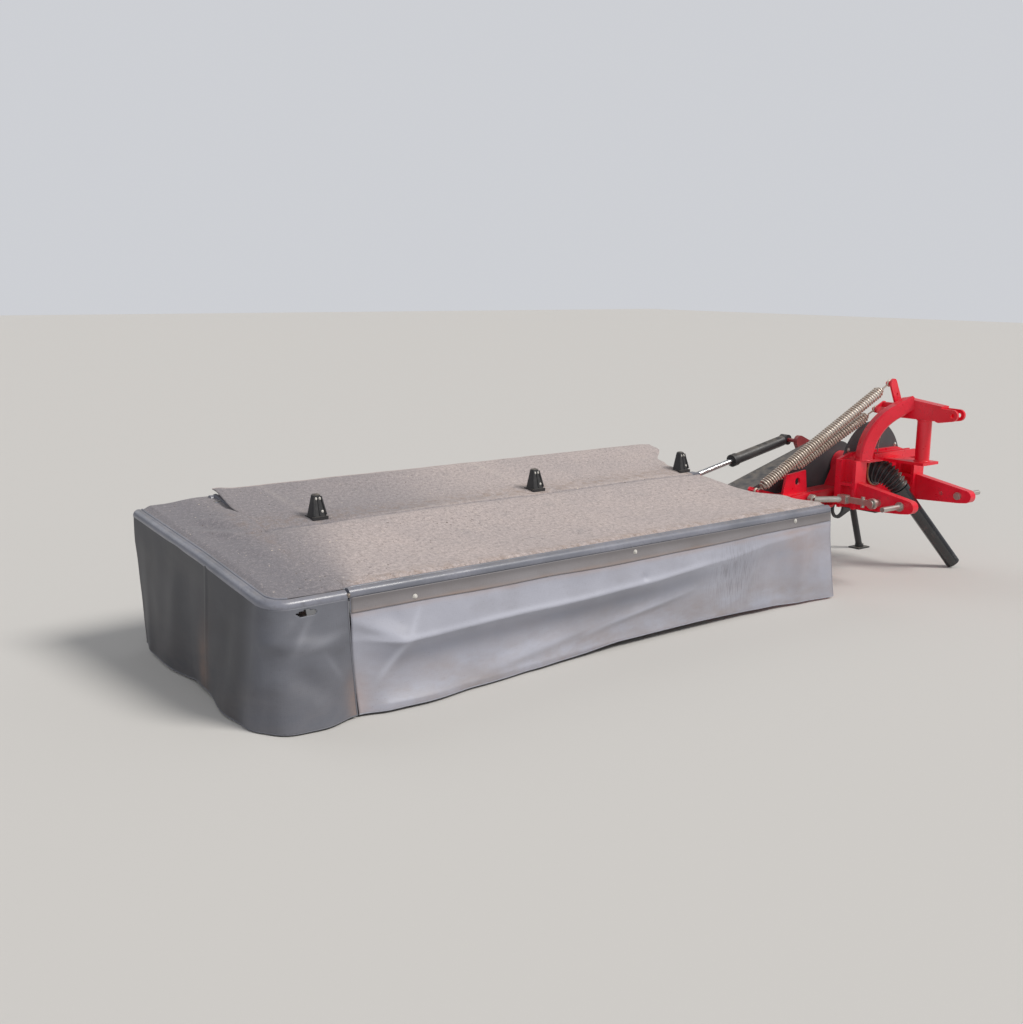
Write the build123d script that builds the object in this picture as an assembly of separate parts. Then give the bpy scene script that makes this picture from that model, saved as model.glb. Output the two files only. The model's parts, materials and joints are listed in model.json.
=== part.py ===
from build123d import *
import math
import os

os.makedirs("parts", exist_ok=True)

# Rear-mounted disc mower. While it is modelled, X = 0 is the inner front corner of the
# cover with the cutting side towards -X, Y = 0 is the front rail with the rear towards +Y,
# and Z = 0 is the ground. The last lines move everything to the middle of its footprint.

# Cover
cover_length = 3280
end_cover_length = 342
split_x = end_cover_length - cover_length
split_gap = 10
sheet = 4
curtain = 6
rail_radius = 24
rail_y = rail_radius
rail_z = 470
crease_y = 668
front_sheet_rise = 0.169
rear_edge_y = 1254
rear_sheet_y = 690
rear_sheet_z = 602
rear_sheet_rise = 0.139
hem_z = 12
rear_hem_z = 60
strip_height = 64
outer_arm_inset = 288
middle_arm_shift = 95
inner_arm_x = -362
outer_arm_x = split_x + outer_arm_inset
middle_arm_x = (outer_arm_x + inner_arm_x) / 2 + middle_arm_shift
arm_xs = (outer_arm_x, middle_arm_x, inner_arm_x)
cover_hinge_z = 590
hinge_pin_radius = 6
ear_notch = 84
ear_notch_depth = 16
running = 0.06

# Hinge cones on the cover: their base, top and place behind the crease
cone_y = 752
cone_height = 105
cone_base = (70, 66)
cone_top = (34, 30)
cone_foot = 38

# End cover and its hinges, whose axis lies under the cloth
end_x = -cover_length + rail_radius
end_corner_radius = 80
end_profile = ((rail_y, rail_z + 18), (600, 568), (rear_edge_y, 640))
end_axis_drop = 10
end_axis_rise = 0.126
end_pin_radius = 4
end_knuckle_radius = 8
end_axis_point = Vector(split_x, rear_sheet_y, rear_sheet_z - end_axis_drop)
end_axis = Vector(0, 1, end_axis_rise).normalized()
end_hinge_ys = (738, 1150)
hinge_notch = 44

# Beam and arms below the cover
beam_y = 695
beam_size = 60
beam_wall = 5
beam_top = 600
beam_inner_x = -262
beam_outer_x = split_x + 24
rear_rail_radius = 20
rear_rail_y = rear_edge_y - 8 - rear_rail_radius
rear_rail_z = 652

# Cutter bar and discs
disc_pitch = 436
first_disc_x = -330
outer_clearance = 334
disc_count = 1 + int((cover_length + first_disc_x - outer_clearance) / disc_pitch)
disc_y = 540
disc_long = 205
disc_short = 165
disc_plate = 8
disc_z = 96
knife_reach = 250
knife_length = 100
knife_width = 46
knife_thickness = 4
bar_front = 385
bar_rear = 725
bar_bottom = 22
bar_top = 80
bar_inner_x = -60
bar_overhang = 214
bar_outer_x = first_disc_x - disc_pitch * (disc_count - 1) - bar_overhang
skid_width = 300
drum_height = 218

# The two parallel pivots: power input (upper) and fold pivot (lower)
input_x = 795
input_z = 575
fold_x = -50
fold_z = 370
fold_pin_radius = 25
hub_bore = 55
hub_outer = 85

# Plates side by side along the pivots, front to rear
cheek_front_y = 345
cheek_plate = 25
pivot_plate = 25
lane_gap = 10
plate_front_y = cheek_front_y + cheek_plate + lane_gap
gearbox_y = plate_front_y + pivot_plate + lane_gap
gearbox_depth = 125
guard_y = gearbox_y + gearbox_depth + lane_gap
guard_depth = 170
guard_wall = 4
guard_input_radius = 140
guard_fold_radius = 118
plate_rear_y = guard_y + guard_depth
cheek_rear_y = plate_rear_y + pivot_plate + 2 * lane_gap
carrier_y = plate_front_y + 50
carrier_width = 100

# Hitch
pin_z = 449
pin_y = -95
pin_radius = 14
ball_half_spacing = 412.5
pin_half_tips = 475
near_arm_x = 510
far_arm_x = 1080
arm_thickness = 50
arm_nose = 45
block_front_y = 187
block_rear_y = 303
block_bottom = 390
block_top = 664
back_plate = 20
shield_radius = 285
shield_plate = 8
link_pin_y = 46
post_radius = 40
bridge_rear_y = 235
bridge_plate = 16
mast_size = 78
mast_foot = (552, 204)
mast_bend = 310
mast_turn = 62
top_arm_half = 36
top_arm_bottom = 900
top_arm_rear_y = 120
top_link_x = input_x
top_link_z = 940
top_link_y = -200
top_link_radius = 12.9
ear_thickness = 16
ear_gap = 52

# Power take-off shaft
joint_y = 200
tube_radius = 40
tube_wall = 6
tube_end = (1168, -31, 26.5)
tube_start = 120
socket_length = 170
sleeve_radius = 32
cross_pin_radius = 8
bellows_ribs = 7

# Parking stand
stand_x = 1045
stand_y = 620
stand_z = 325
stand_foot_x = 1160
stand_tube_radius = 20

# Lift cylinder
lift_y = 838
lift_base_x = 640
lift_base_z = 705
lift_lug_x = -200
lift_lug_z = 545
lift_pin_radius = 12
barrel_radius = 32
barrel_length = 490
lift_overlap = 85
lift_rod_radius = 16
eye_radius = 27

# Relief springs: coil radius, wire radius and the two ends of each axis
spring_radius = 33
spring_pitch = 40
front_spring_top = Vector(722, 188, 1092)
front_spring_foot = Vector(-20, 492, 500)
rear_spring_top = Vector(720, 267, 938)
rear_spring_foot = Vector(225, 520, 556)
spring_pin_radius = 9
spring_eye = 6

parts = {}


def box(x0, x1, y0, y1, z0, z1):
    middle = Pos((x0 + x1) / 2, (y0 + y1) / 2, (z0 + z1) / 2)
    return middle * Box(abs(x1 - x0), abs(y1 - y0), abs(z1 - z0))


def rod(start, end, radius):
    start, end = Vector(*start), Vector(*end)
    along = end - start
    low_end = (Align.CENTER, Align.CENTER, Align.MIN)
    return Plane(origin=start, z_dir=along) * Cylinder(radius, along.length, align=low_end)


def rod_y(x, z, radius, y0, y1):
    return rod((x, y0, z), (x, y1, z), radius)


def rod_x(y, z, radius, x0, x1):
    return rod((x0, y, z), (x1, y, z), radius)


def rod_z(x, y, radius, z0, z1):
    return rod((x, y, z0), (x, y, z1), radius)


def facing_y(face, y0, y1):
    """Extrude a face drawn as (x, z) from y0 to y1."""
    plane = Plane(origin=(0, y1, 0), x_dir=(1, 0, 0), z_dir=(0, -1, 0))
    return extrude(plane * face, amount=y1 - y0)


def facing_x(face, x0, x1):
    """Extrude a face drawn as (y, z) from x0 to x1."""
    plane = Plane(origin=(x0, 0, 0), x_dir=(0, 1, 0), z_dir=(1, 0, 0))
    return extrude(plane * face, amount=x1 - x0)


def outline(*points):
    return make_face(Polyline(*points, close=True))


def strap(*circles):
    """The face round a row of circles, each given as (x, z, radius)."""
    edges = ShapeList()
    for x, z, radius in circles:
        edges += (Pos(x, z) * Circle(radius)).edges()
    return make_hull(edges)


def front_sheet_z(y):
    return rail_z + rail_radius + front_sheet_rise * (y - rail_y)


def rear_sheet_z_at(y):
    return rear_sheet_z + rear_sheet_rise * (y - rear_sheet_y)


# Cover frame, sheets and curtains

def front_frame():
    frame = rod_x(rail_y, rail_z, rail_radius, split_x + split_gap / 2, 0)
    hinge_y = crease_y
    for x in arm_xs:
        reach = hinge_y - 8
        bar = outline(
            (rail_y, rail_z - 12),
            (rail_y, front_sheet_z(rail_y) - 4),
            (reach, front_sheet_z(reach) - 3),
            (reach, front_sheet_z(reach) - 26),
        )
        frame += facing_x(bar, x - 20, x + 20)
        frame += rod_x(hinge_y, cover_hinge_z, 2 * hinge_pin_radius, x - 20, x + 20)
        frame -= rod_x(hinge_y, cover_hinge_z, hinge_pin_radius + running, x - 21, x + 21)
    return frame


def sloped_sheet(y0, z0, y1, z1, plan):
    section = outline((y0, z0), (y1, z1), (y1, z1 + sheet), (y0, z0 + sheet))
    strip = facing_x(section, -cover_length, 0)
    return strip & extrude(make_face(Polyline(*plan, close=True)), amount=2000)


def front_top_sheet():
    outer = split_x + split_gap / 2
    plan = [(outer, 0), (0, 0), (-133, 168), (-268, 335), (-287, 454), (-310, 640), (-312, 700), (outer, 700)]
    cloth = sloped_sheet(rail_y, front_sheet_z(rail_y), crease_y, front_sheet_z(crease_y), plan)
    for x in arm_xs:
        cloth -= box(x - ear_notch / 2, x + ear_notch / 2, crease_y - ear_notch_depth, crease_y + 1, 560, 700)
    return cloth


def front_curtain():
    outer = split_x + split_gap / 2
    top = rail_z - 16
    cloth = box(outer, 0, 0, curtain, hem_z, top)
    strip = box(outer, 0, -3, 0, top - strip_height, top)
    return cloth + strip


def cover_beam():
    rear = beam_y + beam_size
    beam = box(beam_outer_x, beam_inner_x, beam_y, rear, beam_top - beam_size, beam_top)
    beam -= box(
        beam_outer_x + beam_wall, beam_inner_x - beam_wall,
        beam_y + beam_wall, rear - beam_wall,
        beam_top - beam_size + beam_wall, beam_top - beam_wall,
    )
    ear = strap((crease_y, cover_hinge_z, 12), (beam_y + 6, cover_hinge_z - 12, 12))
    ear &= Pos(crease_y, cover_hinge_z) * Rectangle(2 * (beam_y - crease_y), 80)
    for x in arm_xs:
        for side in (-1, 1):
            inner = x + side * 26
            beam += facing_x(ear, min(inner, inner + side * 8), max(inner, inner + side * 8))
        beam += rod_x(crease_y, cover_hinge_z, hinge_pin_radius, x - 34, x + 34)
    return beam


def rear_frame():
    frame = rod_x(rear_rail_y, rear_rail_z, rear_rail_radius, split_x + split_gap / 2, -120)
    near = beam_y + beam_size
    for x in arm_xs:
        bar = outline(
            (near, rear_sheet_z_at(near) - 50),
            (near, rear_sheet_z_at(near) - 0.3),
            (rear_rail_y, rear_sheet_z_at(rear_rail_y) - 0.3),
            (rear_rail_y, rear_rail_z - 12),
        )
        frame += facing_x(bar, x - 20, x + 20)
    frame += facing_x(bar, beam_outer_x, beam_outer_x + 14)
    return frame



def rear_top_sheet():
    outer = split_x + split_gap / 2
    plan = [
        (outer, rear_sheet_y), (-330, rear_sheet_y), (-369, 787), (-377, 834), (-345, 912),
        (-122, 1191), (-105, rear_edge_y), (outer, rear_edge_y),
    ]
    cloth = sloped_sheet(
        rear_sheet_y, rear_sheet_z, rear_edge_y, rear_sheet_z_at(rear_edge_y), plan
    )
    for y in end_hinge_ys:
        cloth -= box(outer - 1, outer + 40, y - hinge_notch / 2, y + hinge_notch / 2, 500, 800)
    return cloth


def rear_curtain():
    return box(
        split_x + split_gap / 2, -112, rear_rail_y + rear_rail_radius,
        rear_rail_y + rear_rail_radius + curtain, rear_hem_z, rear_rail_z + 12,
    )



def hinge_cones():
    solids = []
    for x in arm_xs:
        seat = rear_sheet_z_at(cone_y) + sheet
        base = Plane(origin=(x, cone_y, seat + 9)) * RectangleRounded(*cone_base, 14)
        top = Plane(origin=(x, cone_y + 6, seat + cone_height)) * RectangleRounded(*cone_top, 10)
        cone = loft([base, top])
        cone = chamfer(cone.faces().sort_by(Axis.Z)[-1].edges(), 5)
        front, rear = cone_y - cone_foot, cone_y + cone_foot
        low = rear_sheet_z_at(front) + sheet
        high = rear_sheet_z_at(rear) + sheet
        foot = outline((front, low), (rear, high), (rear, seat + 9), (front, seat + 9))
        solids.append(cone + facing_x(foot, x - cone_foot, x + cone_foot))
    return solids


# End cover

def end_sheet_z(y):
    (y0, z0), (y1, z1), (y2, z2) = end_profile
    if y < y1:
        return z0 + (z1 - z0) * (y - y0) / (y1 - y0)
    return z1 + (z2 - z1) * (y - y1) / (y2 - y1)


def on_end_axis(y):
    return end_axis_point + end_axis * ((y - end_axis_point.Y) / end_axis.Y)


def end_frame():
    inner = split_x - split_gap / 2
    top = [(y, z - rail_radius) for y, z in end_profile]
    path = FilletPolyline(
        (inner, rail_y, rail_z - 6), (end_x, top[0][0], top[0][1]),
        (end_x, top[1][0], top[1][1]), (end_x, top[2][0], top[2][1]),
        radius=end_corner_radius,
    )
    frame = sweep(Plane(origin=path @ 0, z_dir=path % 0) * Circle(rail_radius), path=path)
    for y in end_hinge_ys:
        lane = (y - 18, y - 6)
        hinge = on_end_axis(y - 12)
        under = end_sheet_z(y - 18) - 4
        bar = outline(
            (end_x, under - 30), (inner - 26, under - 30), (inner - 12, under - 8),
            (split_x + 5, hinge.Z), (split_x - 5, hinge.Z + 5), (inner - 26, under), (end_x, under),
        )
        frame += facing_y(bar, *lane)
        frame += rod(on_end_axis(lane[0]), on_end_axis(lane[1]), end_knuckle_radius)
        frame -= rod(on_end_axis(lane[0] - 3), on_end_axis(lane[1] + 3), end_pin_radius + running)
    return frame


def end_brackets():
    """Hinge brackets of the end cover, with their pins, on the beam end and the rear rail."""
    solids = []
    for y in end_hinge_ys:
        lane = (y + 1, y + 13)
        hinge = on_end_axis(y + 7)
        low = rear_sheet_z_at(y) - 40
        plate = outline(
            (beam_outer_x, low), (beam_outer_x - 14, low), (split_x - 6, hinge.Z - 6),
            (split_x - 6, hinge.Z + 6), (split_x + 10, hinge.Z + 5), (beam_outer_x, low + 32),
        )
        bracket = facing_y(plate, *lane)
        bracket += rod(on_end_axis(y - 20), on_end_axis(lane[1]), end_pin_radius)
        solids.append(bracket)
    return solids


def end_top_sheet():
    inner = split_x - split_gap / 2
    seat = 0.6
    lower = [(y, z + seat) for y, z in end_profile]
    upper = [(y, z + seat + sheet) for y, z in reversed(end_profile)]
    section = outline(*lower, *upper)
    cloth = facing_x(section, -cover_length + 6, inner)
    corner = extrude(
        Pos((-cover_length + inner) / 2, (rail_y + rear_edge_y) / 2)
        * Rectangle(inner + cover_length, rear_edge_y - rail_y), amount=1000
    )
    cloth &= corner
    for y in end_hinge_ys:
        cloth -= box(inner - 48, inner + 1, y - hinge_notch / 2, y + hinge_notch / 2, 500, 800)
    return cloth


def end_curtain():
    """One cloth round the front outer corner, cut to the slope of the end rail."""
    inner = split_x - split_gap / 2
    outer = -cover_length
    radius = end_corner_radius + rail_radius

    def corner_face(inset):
        x0, y0 = outer + inset, inset
        x1, y1 = inner + inset, rear_edge_y + inset
        face = Pos((x0 + x1) / 2, (y0 + y1) / 2) * Rectangle(x1 - x0, y1 - y0)
        corner = face.vertices().sort_by_distance((x0, y0, 0))[0]
        return fillet(corner, radius - inset)

    keep = Pos((outer + inner) / 2, rear_edge_y / 2) * Rectangle(inner - outer, rear_edge_y)
    wall = Pos(0, 0, hem_z) * extrude((corner_face(0) - corner_face(curtain)) & keep, amount=800)
    drop = rail_radius + 16.3
    (y0, z0), (y1, z1), (y2, z2) = end_profile
    below = outline(
        (-1, hem_z), (-1, z0 - drop), (y0, z0 - drop), (y1, z1 - drop), (y2 + 1, z2 - drop), (y2 + 1, hem_z),
    )
    return wall & facing_x(below, outer - 1, inner + 1)


# Cutter bar

def disc_x(index):
    return first_disc_x - disc_pitch * index


def cutterbar():
    section = outline(
        (bar_front, 44), (bar_front + 15, bar_bottom), (bar_rear - 20, bar_bottom),
        (bar_rear, 40), (bar_rear, 62), (bar_rear - 35, bar_top), (bar_front + 45, bar_top), (bar_front, 58),
    )
    bar = facing_x(section, bar_outer_x, bar_inner_x)
    for index in range(disc_count):
        guard = Pos(disc_x(index), disc_y) * Circle(185)
        guard &= Pos(disc_x(index), disc_y - 100) * Rectangle(400, 200)
        bar += Pos(0, 0, 44) * extrude(guard, amount=14)
        bar += rod_z(disc_x(index), disc_y, 62, bar_top - 2, disc_z - 0.3)
    return bar


def skids():
    section = outline(
        (340, 43), (350, 26), (392, 4), (430, 0), (684, 0), (bar_rear - 14, 14), (bar_rear - 20, bar_bottom),
        (bar_front + 14, bar_bottom), (bar_front - 1, 43),
    )
    plates = []
    for index in range(disc_count):
        middle = disc_x(index)
        plates.append(facing_x(section, middle - skid_width / 2, middle + skid_width / 2))
    return plates


def outer_shoe():
    plate = outline(
        (340, 60), (372, 10), (430, 2), (690, 2), (760, 30),
        (1000, 120), (1000, 300), (760, 300), (600, 180), (380, 120),
    )
    shoe = facing_x(plate, bar_outer_x - 56, bar_outer_x - 50)
    shoe += box(bar_outer_x - 50, bar_outer_x, bar_front + 30, bar_rear - 30, bar_bottom + 6, bar_top - 8)
    return shoe


def disc(index):
    x = disc_x(index)
    turn = 0 if index % 2 == 0 else 90
    plate = extrude(Ellipse(disc_long, disc_short), amount=disc_plate)
    crown = Pos(0, 0, disc_plate) * Cone(100, 62, 34, align=(Align.CENTER, Align.CENTER, Align.MIN))
    body = plate + crown + rod_z(0, 0, 20, disc_plate + 34, disc_plate + 46)
    for side in (0, 180):
        blade = Pos(knife_reach - knife_length / 2, 0) * Rectangle(knife_length, knife_width)
        blade = chamfer(blade.vertices().sort_by(Axis.X)[-2:], 12)
        knife = Pos(0, 0, -knife_thickness) * extrude(blade, amount=knife_thickness)
        bolt = rod_z(disc_long - 30, 0, 14, 0, disc_plate + 9)
        body += Rot(0, 0, side) * (knife + bolt)
    if index == 0:
        body += Pos(0, 0, disc_plate) * Cone(120, 88, drum_height, align=(Align.CENTER, Align.CENTER, Align.MIN))
    if index == disc_count - 1:
        body += Pos(0, 0, disc_plate) * Cone(135, 100, drum_height * 0.9, align=(Align.CENTER, Align.CENTER, Align.MIN))
    return Pos(x, disc_y, disc_z) * Rot(0, 0, turn) * body


# Gearbox and fold bracket

def gearbox():
    top = 458
    bottom = disc_z + disc_plate + drum_height + 8
    housing = rod_y(fold_x, fold_z, 88, gearbox_y, gearbox_y + gearbox_depth)
    neck = outline(
        (first_disc_x, bottom + 6), (first_disc_x + 95, bottom + 6), (first_disc_x + 140, 300), (fold_x, 300),
        (fold_x, 376), (fold_x - 140, 378), (first_disc_x + 85, top - 16), (first_disc_x, top - 16),
    )
    housing += facing_y(neck, gearbox_y + 14, gearbox_y + gearbox_depth - 12)
    housing += rod_z(first_disc_x, disc_y, 82, bottom, top)
    housing += rod_z(first_disc_x, disc_y, 50, top, top + 14)
    housing += rod_y(fold_x, fold_z, 20, gearbox_y + gearbox_depth, guard_y + 30)
    for step in range(6):
        angle = math.radians(60 * step)
        housing += rod_z(first_disc_x + 68 * math.cos(angle), disc_y + 68 * math.sin(angle), 8, top, top + 8)
    return housing


def inner_end_plate():
    return box(bar_inner_x, bar_inner_x + 22, cheek_front_y + cheek_plate, cheek_rear_y, bar_bottom, 232)


def fold_cheek_front():
    face = strap((fold_x, fold_z, 70), (fold_x - 30, 90, 45), (fold_x + 25, 90, 45))
    face += outline((fold_x - 75, 90), (fold_x + 70, 90), (fold_x + 70, bar_bottom), (fold_x - 60, bar_bottom))
    cheek = facing_y(face, cheek_front_y, cheek_front_y + cheek_plate)
    cheek += rod_y(fold_x, fold_z, fold_pin_radius, cheek_front_y - 18, gearbox_y)
    cheek += rod_y(fold_x, fold_z, 40, cheek_front_y - 10, cheek_front_y)
    return cheek


def fold_cheek_rear():
    face = strap((fold_x, fold_z, 70), (fold_x - 30, 90, 45), (fold_x + 25, 90, 45))
    face += outline((fold_x - 75, 90), (fold_x + 70, 90), (fold_x + 70, bar_bottom), (fold_x - 60, bar_bottom))
    face += strap((fold_x, fold_z, 60), (lift_lug_x, lift_lug_z, 34))
    face += strap((fold_x - 20, fold_z, 45), (beam_inner_x - 38, beam_top - 34, 34))
    cheek = facing_y(face, cheek_rear_y, cheek_rear_y + cheek_plate)
    cheek += rod_y(fold_x, fold_z, fold_pin_radius, plate_rear_y + 3, cheek_rear_y + cheek_plate + 16)
    cheek += rod_y(fold_x, fold_z, 40, cheek_rear_y + cheek_plate, cheek_rear_y + cheek_plate + 10)
    cheek += box(
        beam_inner_x - 68, beam_inner_x - 6, beam_y + beam_size, cheek_rear_y,
        beam_top - beam_size + 6, beam_top - 6,
    )
    return cheek


# Carrier between the two pivots

def carrier_frame():
    rear = carrier_y + carrier_width
    side = outline(
        (170, 345), (600, 352), (700, 420), (input_x - 30, input_z - 60), (input_x - 60, input_z + 55),
        (640, 470), (170, 460),
    )
    core = outline(
        (184, 359), (594, 366), (676, 420), (input_x - 60, input_z - 40), (input_x - 75, input_z + 20),
        (646, 456), (184, 446),
    )
    frame = facing_y(side - core, carrier_y, rear)
    frame += facing_y(side, carrier_y + 44, carrier_y + 58)
    frame += rod_y(input_x, input_z, hub_outer, carrier_y, rear + 15)
    frame += facing_y(outline((172, 455), (390, 455), (370, 590), (200, 575)), carrier_y + 30, carrier_y + 44)
    frame -= facing_y(Pos(300, 530) * Circle(22), carrier_y + 20, carrier_y + 44)
    frame -= rod_y(input_x, input_z, hub_bore + running, carrier_y - 5, rear + 20)
    plate = strap((fold_x, fold_z, 68), (305, 420, 50), (305, 268, 34))
    frame += facing_y(plate, plate_front_y, plate_front_y + pivot_plate)
    frame -= rod_y(fold_x, fold_z, fold_pin_radius + running, plate_front_y - 5, plate_front_y + pivot_plate + 5)
    foot = front_spring_foot
    lug_y = carrier_y + carrier_width
    frame += facing_y(strap((215, 425, 28), (foot.X, foot.Z, 20)), lug_y, lug_y + 10)
    frame += rod_y(foot.X, foot.Z, spring_pin_radius, foot.Y - 14, lug_y)
    foot = rear_spring_foot
    frame += rod_y(foot.X, foot.Z, spring_pin_radius, carrier_y + 44, foot.Y + 14)
    frame += box(225, 350, plate_front_y + pivot_plate, carrier_y, 375, 450)
    frame += rod_y(305, 268, 25, plate_front_y + pivot_plate, plate_rear_y)
    return frame


def belt_guard():
    face = strap((input_x, input_z, guard_input_radius), (fold_x, fold_z, guard_fold_radius))
    inside = strap(
        (input_x, input_z, guard_input_radius - guard_wall), (fold_x, fold_z, guard_fold_radius - guard_wall)
    )
    guard = facing_y(face, guard_y, plate_rear_y)
    guard -= facing_y(inside, guard_y + guard_wall, plate_rear_y - guard_wall)
    guard -= rod_y(fold_x, fold_z, 30, guard_y - 1, guard_y + guard_wall + 1)
    return guard


def carrier_rear_plate():
    face = strap((fold_x, fold_z, 68), (input_x, input_z, 95))
    face += strap((305, 268, 34), (305, 450, 45))
    face += strap((input_x, input_z, 95), (lift_base_x, lift_base_z, 36))
    face -= Pos(fold_x, fold_z) * Circle(fold_pin_radius + running)
    for x in (180, 400):
        z = fold_z + (x - fold_x) * (input_z - fold_z) / (input_x - fold_x)
        face -= Pos(x, z) * Circle(34)
    plate = facing_y(face, plate_rear_y, plate_rear_y + pivot_plate)
    return plate + rod_y(lift_base_x, lift_base_z, lift_pin_radius, plate_rear_y + pivot_plate, lift_y + 34)


# Headstock

def arm_outline(root_top):
    corner = 12
    face = strap(
        (pin_y, pin_z, 42), (pin_y - arm_nose, pin_z, 36),
        (block_front_y, block_bottom + corner, corner), (block_front_y, root_top - corner, corner),
    )
    return face & Pos((pin_y + block_front_y) / 2 - 50, pin_z) * Rectangle(block_front_y - pin_y + 100, 400)


def hitch_arm(middle, root_top):
    low, high = middle - arm_thickness / 2, middle + arm_thickness / 2
    arm = facing_x(arm_outline(root_top), low, high)
    block = outline(
        (block_front_y, block_bottom), (block_rear_y, block_bottom),
        (block_rear_y, block_top), (block_front_y, block_top),
    )
    arm += facing_x(block, middle - 12, middle + 12)
    for y in (block_front_y, block_rear_y - 20):
        arm += box(middle - 50, middle + 50, y, y + 20, block_bottom, block_top)
    arm += box(middle - 50, middle + 50, block_front_y, block_rear_y, 520, 536)
    arm -= rod_x(pin_y, pin_z, pin_radius + running, low - 5, high + 5)
    return arm


def lower_arm_near():
    arm = hitch_arm(near_arm_x, 540)
    return arm - rod_x(link_pin_y, pin_z, 12 + running, near_arm_x - 60, near_arm_x + 60)


def lower_arm_far():
    arm = hitch_arm(far_arm_x, 540)
    return arm - rod_x(link_pin_y - 30, pin_z, 13, far_arm_x - 60, far_arm_x + 60)


def lower_link_pins():
    near_side = rod_x(pin_y, pin_z, pin_radius, input_x - pin_half_tips, near_arm_x + 40)
    near_side += rod_x(pin_y, pin_z, 26, near_arm_x - 37, near_arm_x - 25)
    near_side += rod_x(pin_y, pin_z, 22, near_arm_x + 25, near_arm_x + 37)
    far_side = rod_x(pin_y, pin_z, pin_radius, far_arm_x - 40, input_x + pin_half_tips)
    far_side += rod_x(pin_y, pin_z, 26, far_arm_x + 25, far_arm_x + 37)
    far_side += rod_x(pin_y, pin_z, 22, far_arm_x - 37, far_arm_x - 25)
    return [near_side, far_side]


def headstock_plate():
    face = outline(
        (near_arm_x - 50, 400), (far_arm_x + 50, 400), (far_arm_x + 50, block_top),
        (far_arm_x - 60, block_top + 30), (near_arm_x + 60, block_top + 30), (near_arm_x - 50, block_top),
    )
    face -= Pos(input_x, input_z) * Circle(30)
    return facing_y(face, block_rear_y, block_rear_y + back_plate)


def bridge():
    low, high = near_arm_x + 52, far_arm_x - 50
    beam = box(low, high, block_front_y, bridge_rear_y, block_top - bridge_plate, block_top)
    for y in (block_front_y, bridge_rear_y - 10):
        beam += box(low + 70, high, y, y + 10, block_top, block_top + 30)
    beam += box(input_x - 75, input_x + 75, -68, block_front_y, block_top - bridge_plate, block_top)
    beam += rod_z(input_x, -10, post_radius, block_top, top_arm_bottom)
    return beam


def mast_arm():
    """A curved box arm in the upright plane from the near block to the top link arm."""
    foot = Vector(*mast_foot, block_top)
    head = Vector(top_link_x - top_arm_half, 88, block_top)
    across = (head - foot).normalized()
    upright = Plane(origin=foot, x_dir=across, z_dir=across.cross(Vector(0, 0, 1)))
    bend = CenterArc((mast_bend, 0), mast_bend, 180, -mast_turn)
    reach = Line(bend @ 1, (bend @ 1) + (bend % 1) * 2 * mast_size)
    section = Plane(origin=foot, x_dir=across, z_dir=(0, 0, 1)) * Rectangle(mast_size, mast_size)
    section = chamfer(section.vertices(), 9)
    arm = sweep(section, path=upright * (bend + reach))
    return arm - box(head.X, head.X + 300, -200, 300, block_top, 1300)


def top_link_arm():
    low, high = top_link_x - top_arm_half, top_link_x + top_arm_half
    side = outline((-130, top_arm_bottom), (top_arm_rear_y, top_arm_bottom), (top_arm_rear_y, 1015), (-130, 985))
    arm = facing_x(side, low, high)
    for way in (-1, 1):
        inner = top_link_x + way * ear_gap / 2
        outer = inner + way * ear_thickness
        face = strap((top_link_y, top_link_z, 32), (-120, top_link_z - 6, 40))
        arm += facing_x(face, min(inner, outer), max(inner, outer))
    arm -= rod_x(top_link_y, top_link_z, top_link_radius, top_link_x - 60, top_link_x + 60)
    return arm


def spring_bracket():
    """The brackets of both springs, welded to the rear end of the top link arm."""
    front, rear = front_spring_top, rear_spring_top
    plate_y = 155
    bracket = box(top_link_x - 27, top_link_x + 31, top_arm_rear_y, plate_y, 940, 988)
    lean = strap((top_link_x - 5, 965, 30), (front.X, front.Z, 28))
    lean -= Pos(top_link_x - 36, 1030) * Circle(9)
    bracket += facing_y(lean, plate_y, plate_y + 12)
    bracket += rod_y(front.X, front.Z, spring_pin_radius, plate_y, front.Y + 17)
    bracket += box(top_link_x - 36, top_link_x - 4, top_arm_rear_y, 246, 950, 978)
    bracket += facing_y(strap((top_link_x - 20, 964, 20), (rear.X, rear.Z, 22)), 246, 256)
    bracket += rod_y(rear.X, rear.Z, spring_pin_radius, 246, rear.Y + 17)
    return bracket


def input_housing():
    housing = rod_y(input_x, input_z, hub_bore, block_rear_y + back_plate, guard_y - 4)
    housing += rod_y(input_x, input_z, 78, block_rear_y + back_plate, carrier_y - 40)
    housing += rod_y(input_x, input_z, 30, joint_y + 40, block_rear_y + back_plate)
    fork = Plane(origin=(input_x, joint_y, input_z), x_dir=(0, 1, 0), z_dir=cross_axis())
    for side in (-1, 1):
        ear = Pos(17, 0, side * 22) * Box(62, 26, 8)
        housing += fork * ear
    housing += fork * Cylinder(cross_pin_radius, 50)
    return housing


# Power take-off shaft

def joint_centre():
    return Vector(input_x, joint_y, input_z)


def shaft_direction():
    return (Vector(*tube_end) - joint_centre()).normalized()


def cross_axis():
    return shaft_direction().cross(Vector(0, -1, 0)).normalized()


def pto_yoke():
    fork = Plane(origin=joint_centre(), x_dir=(0, 1, 0), z_dir=cross_axis())
    yoke = fork * Cylinder(17, 34)
    reach = (Vector(*tube_end) - joint_centre()).length
    start = joint_centre()
    yoke += rod(start, start + shaft_direction() * (reach - socket_length - 60), 16)
    bearing_start = start + shaft_direction() * (tube_start - 8)
    yoke += rod(bearing_start, bearing_start + shaft_direction() * 38, sleeve_radius)
    yoke -= fork * Cylinder(cross_pin_radius + running, 60)
    return yoke


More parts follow.
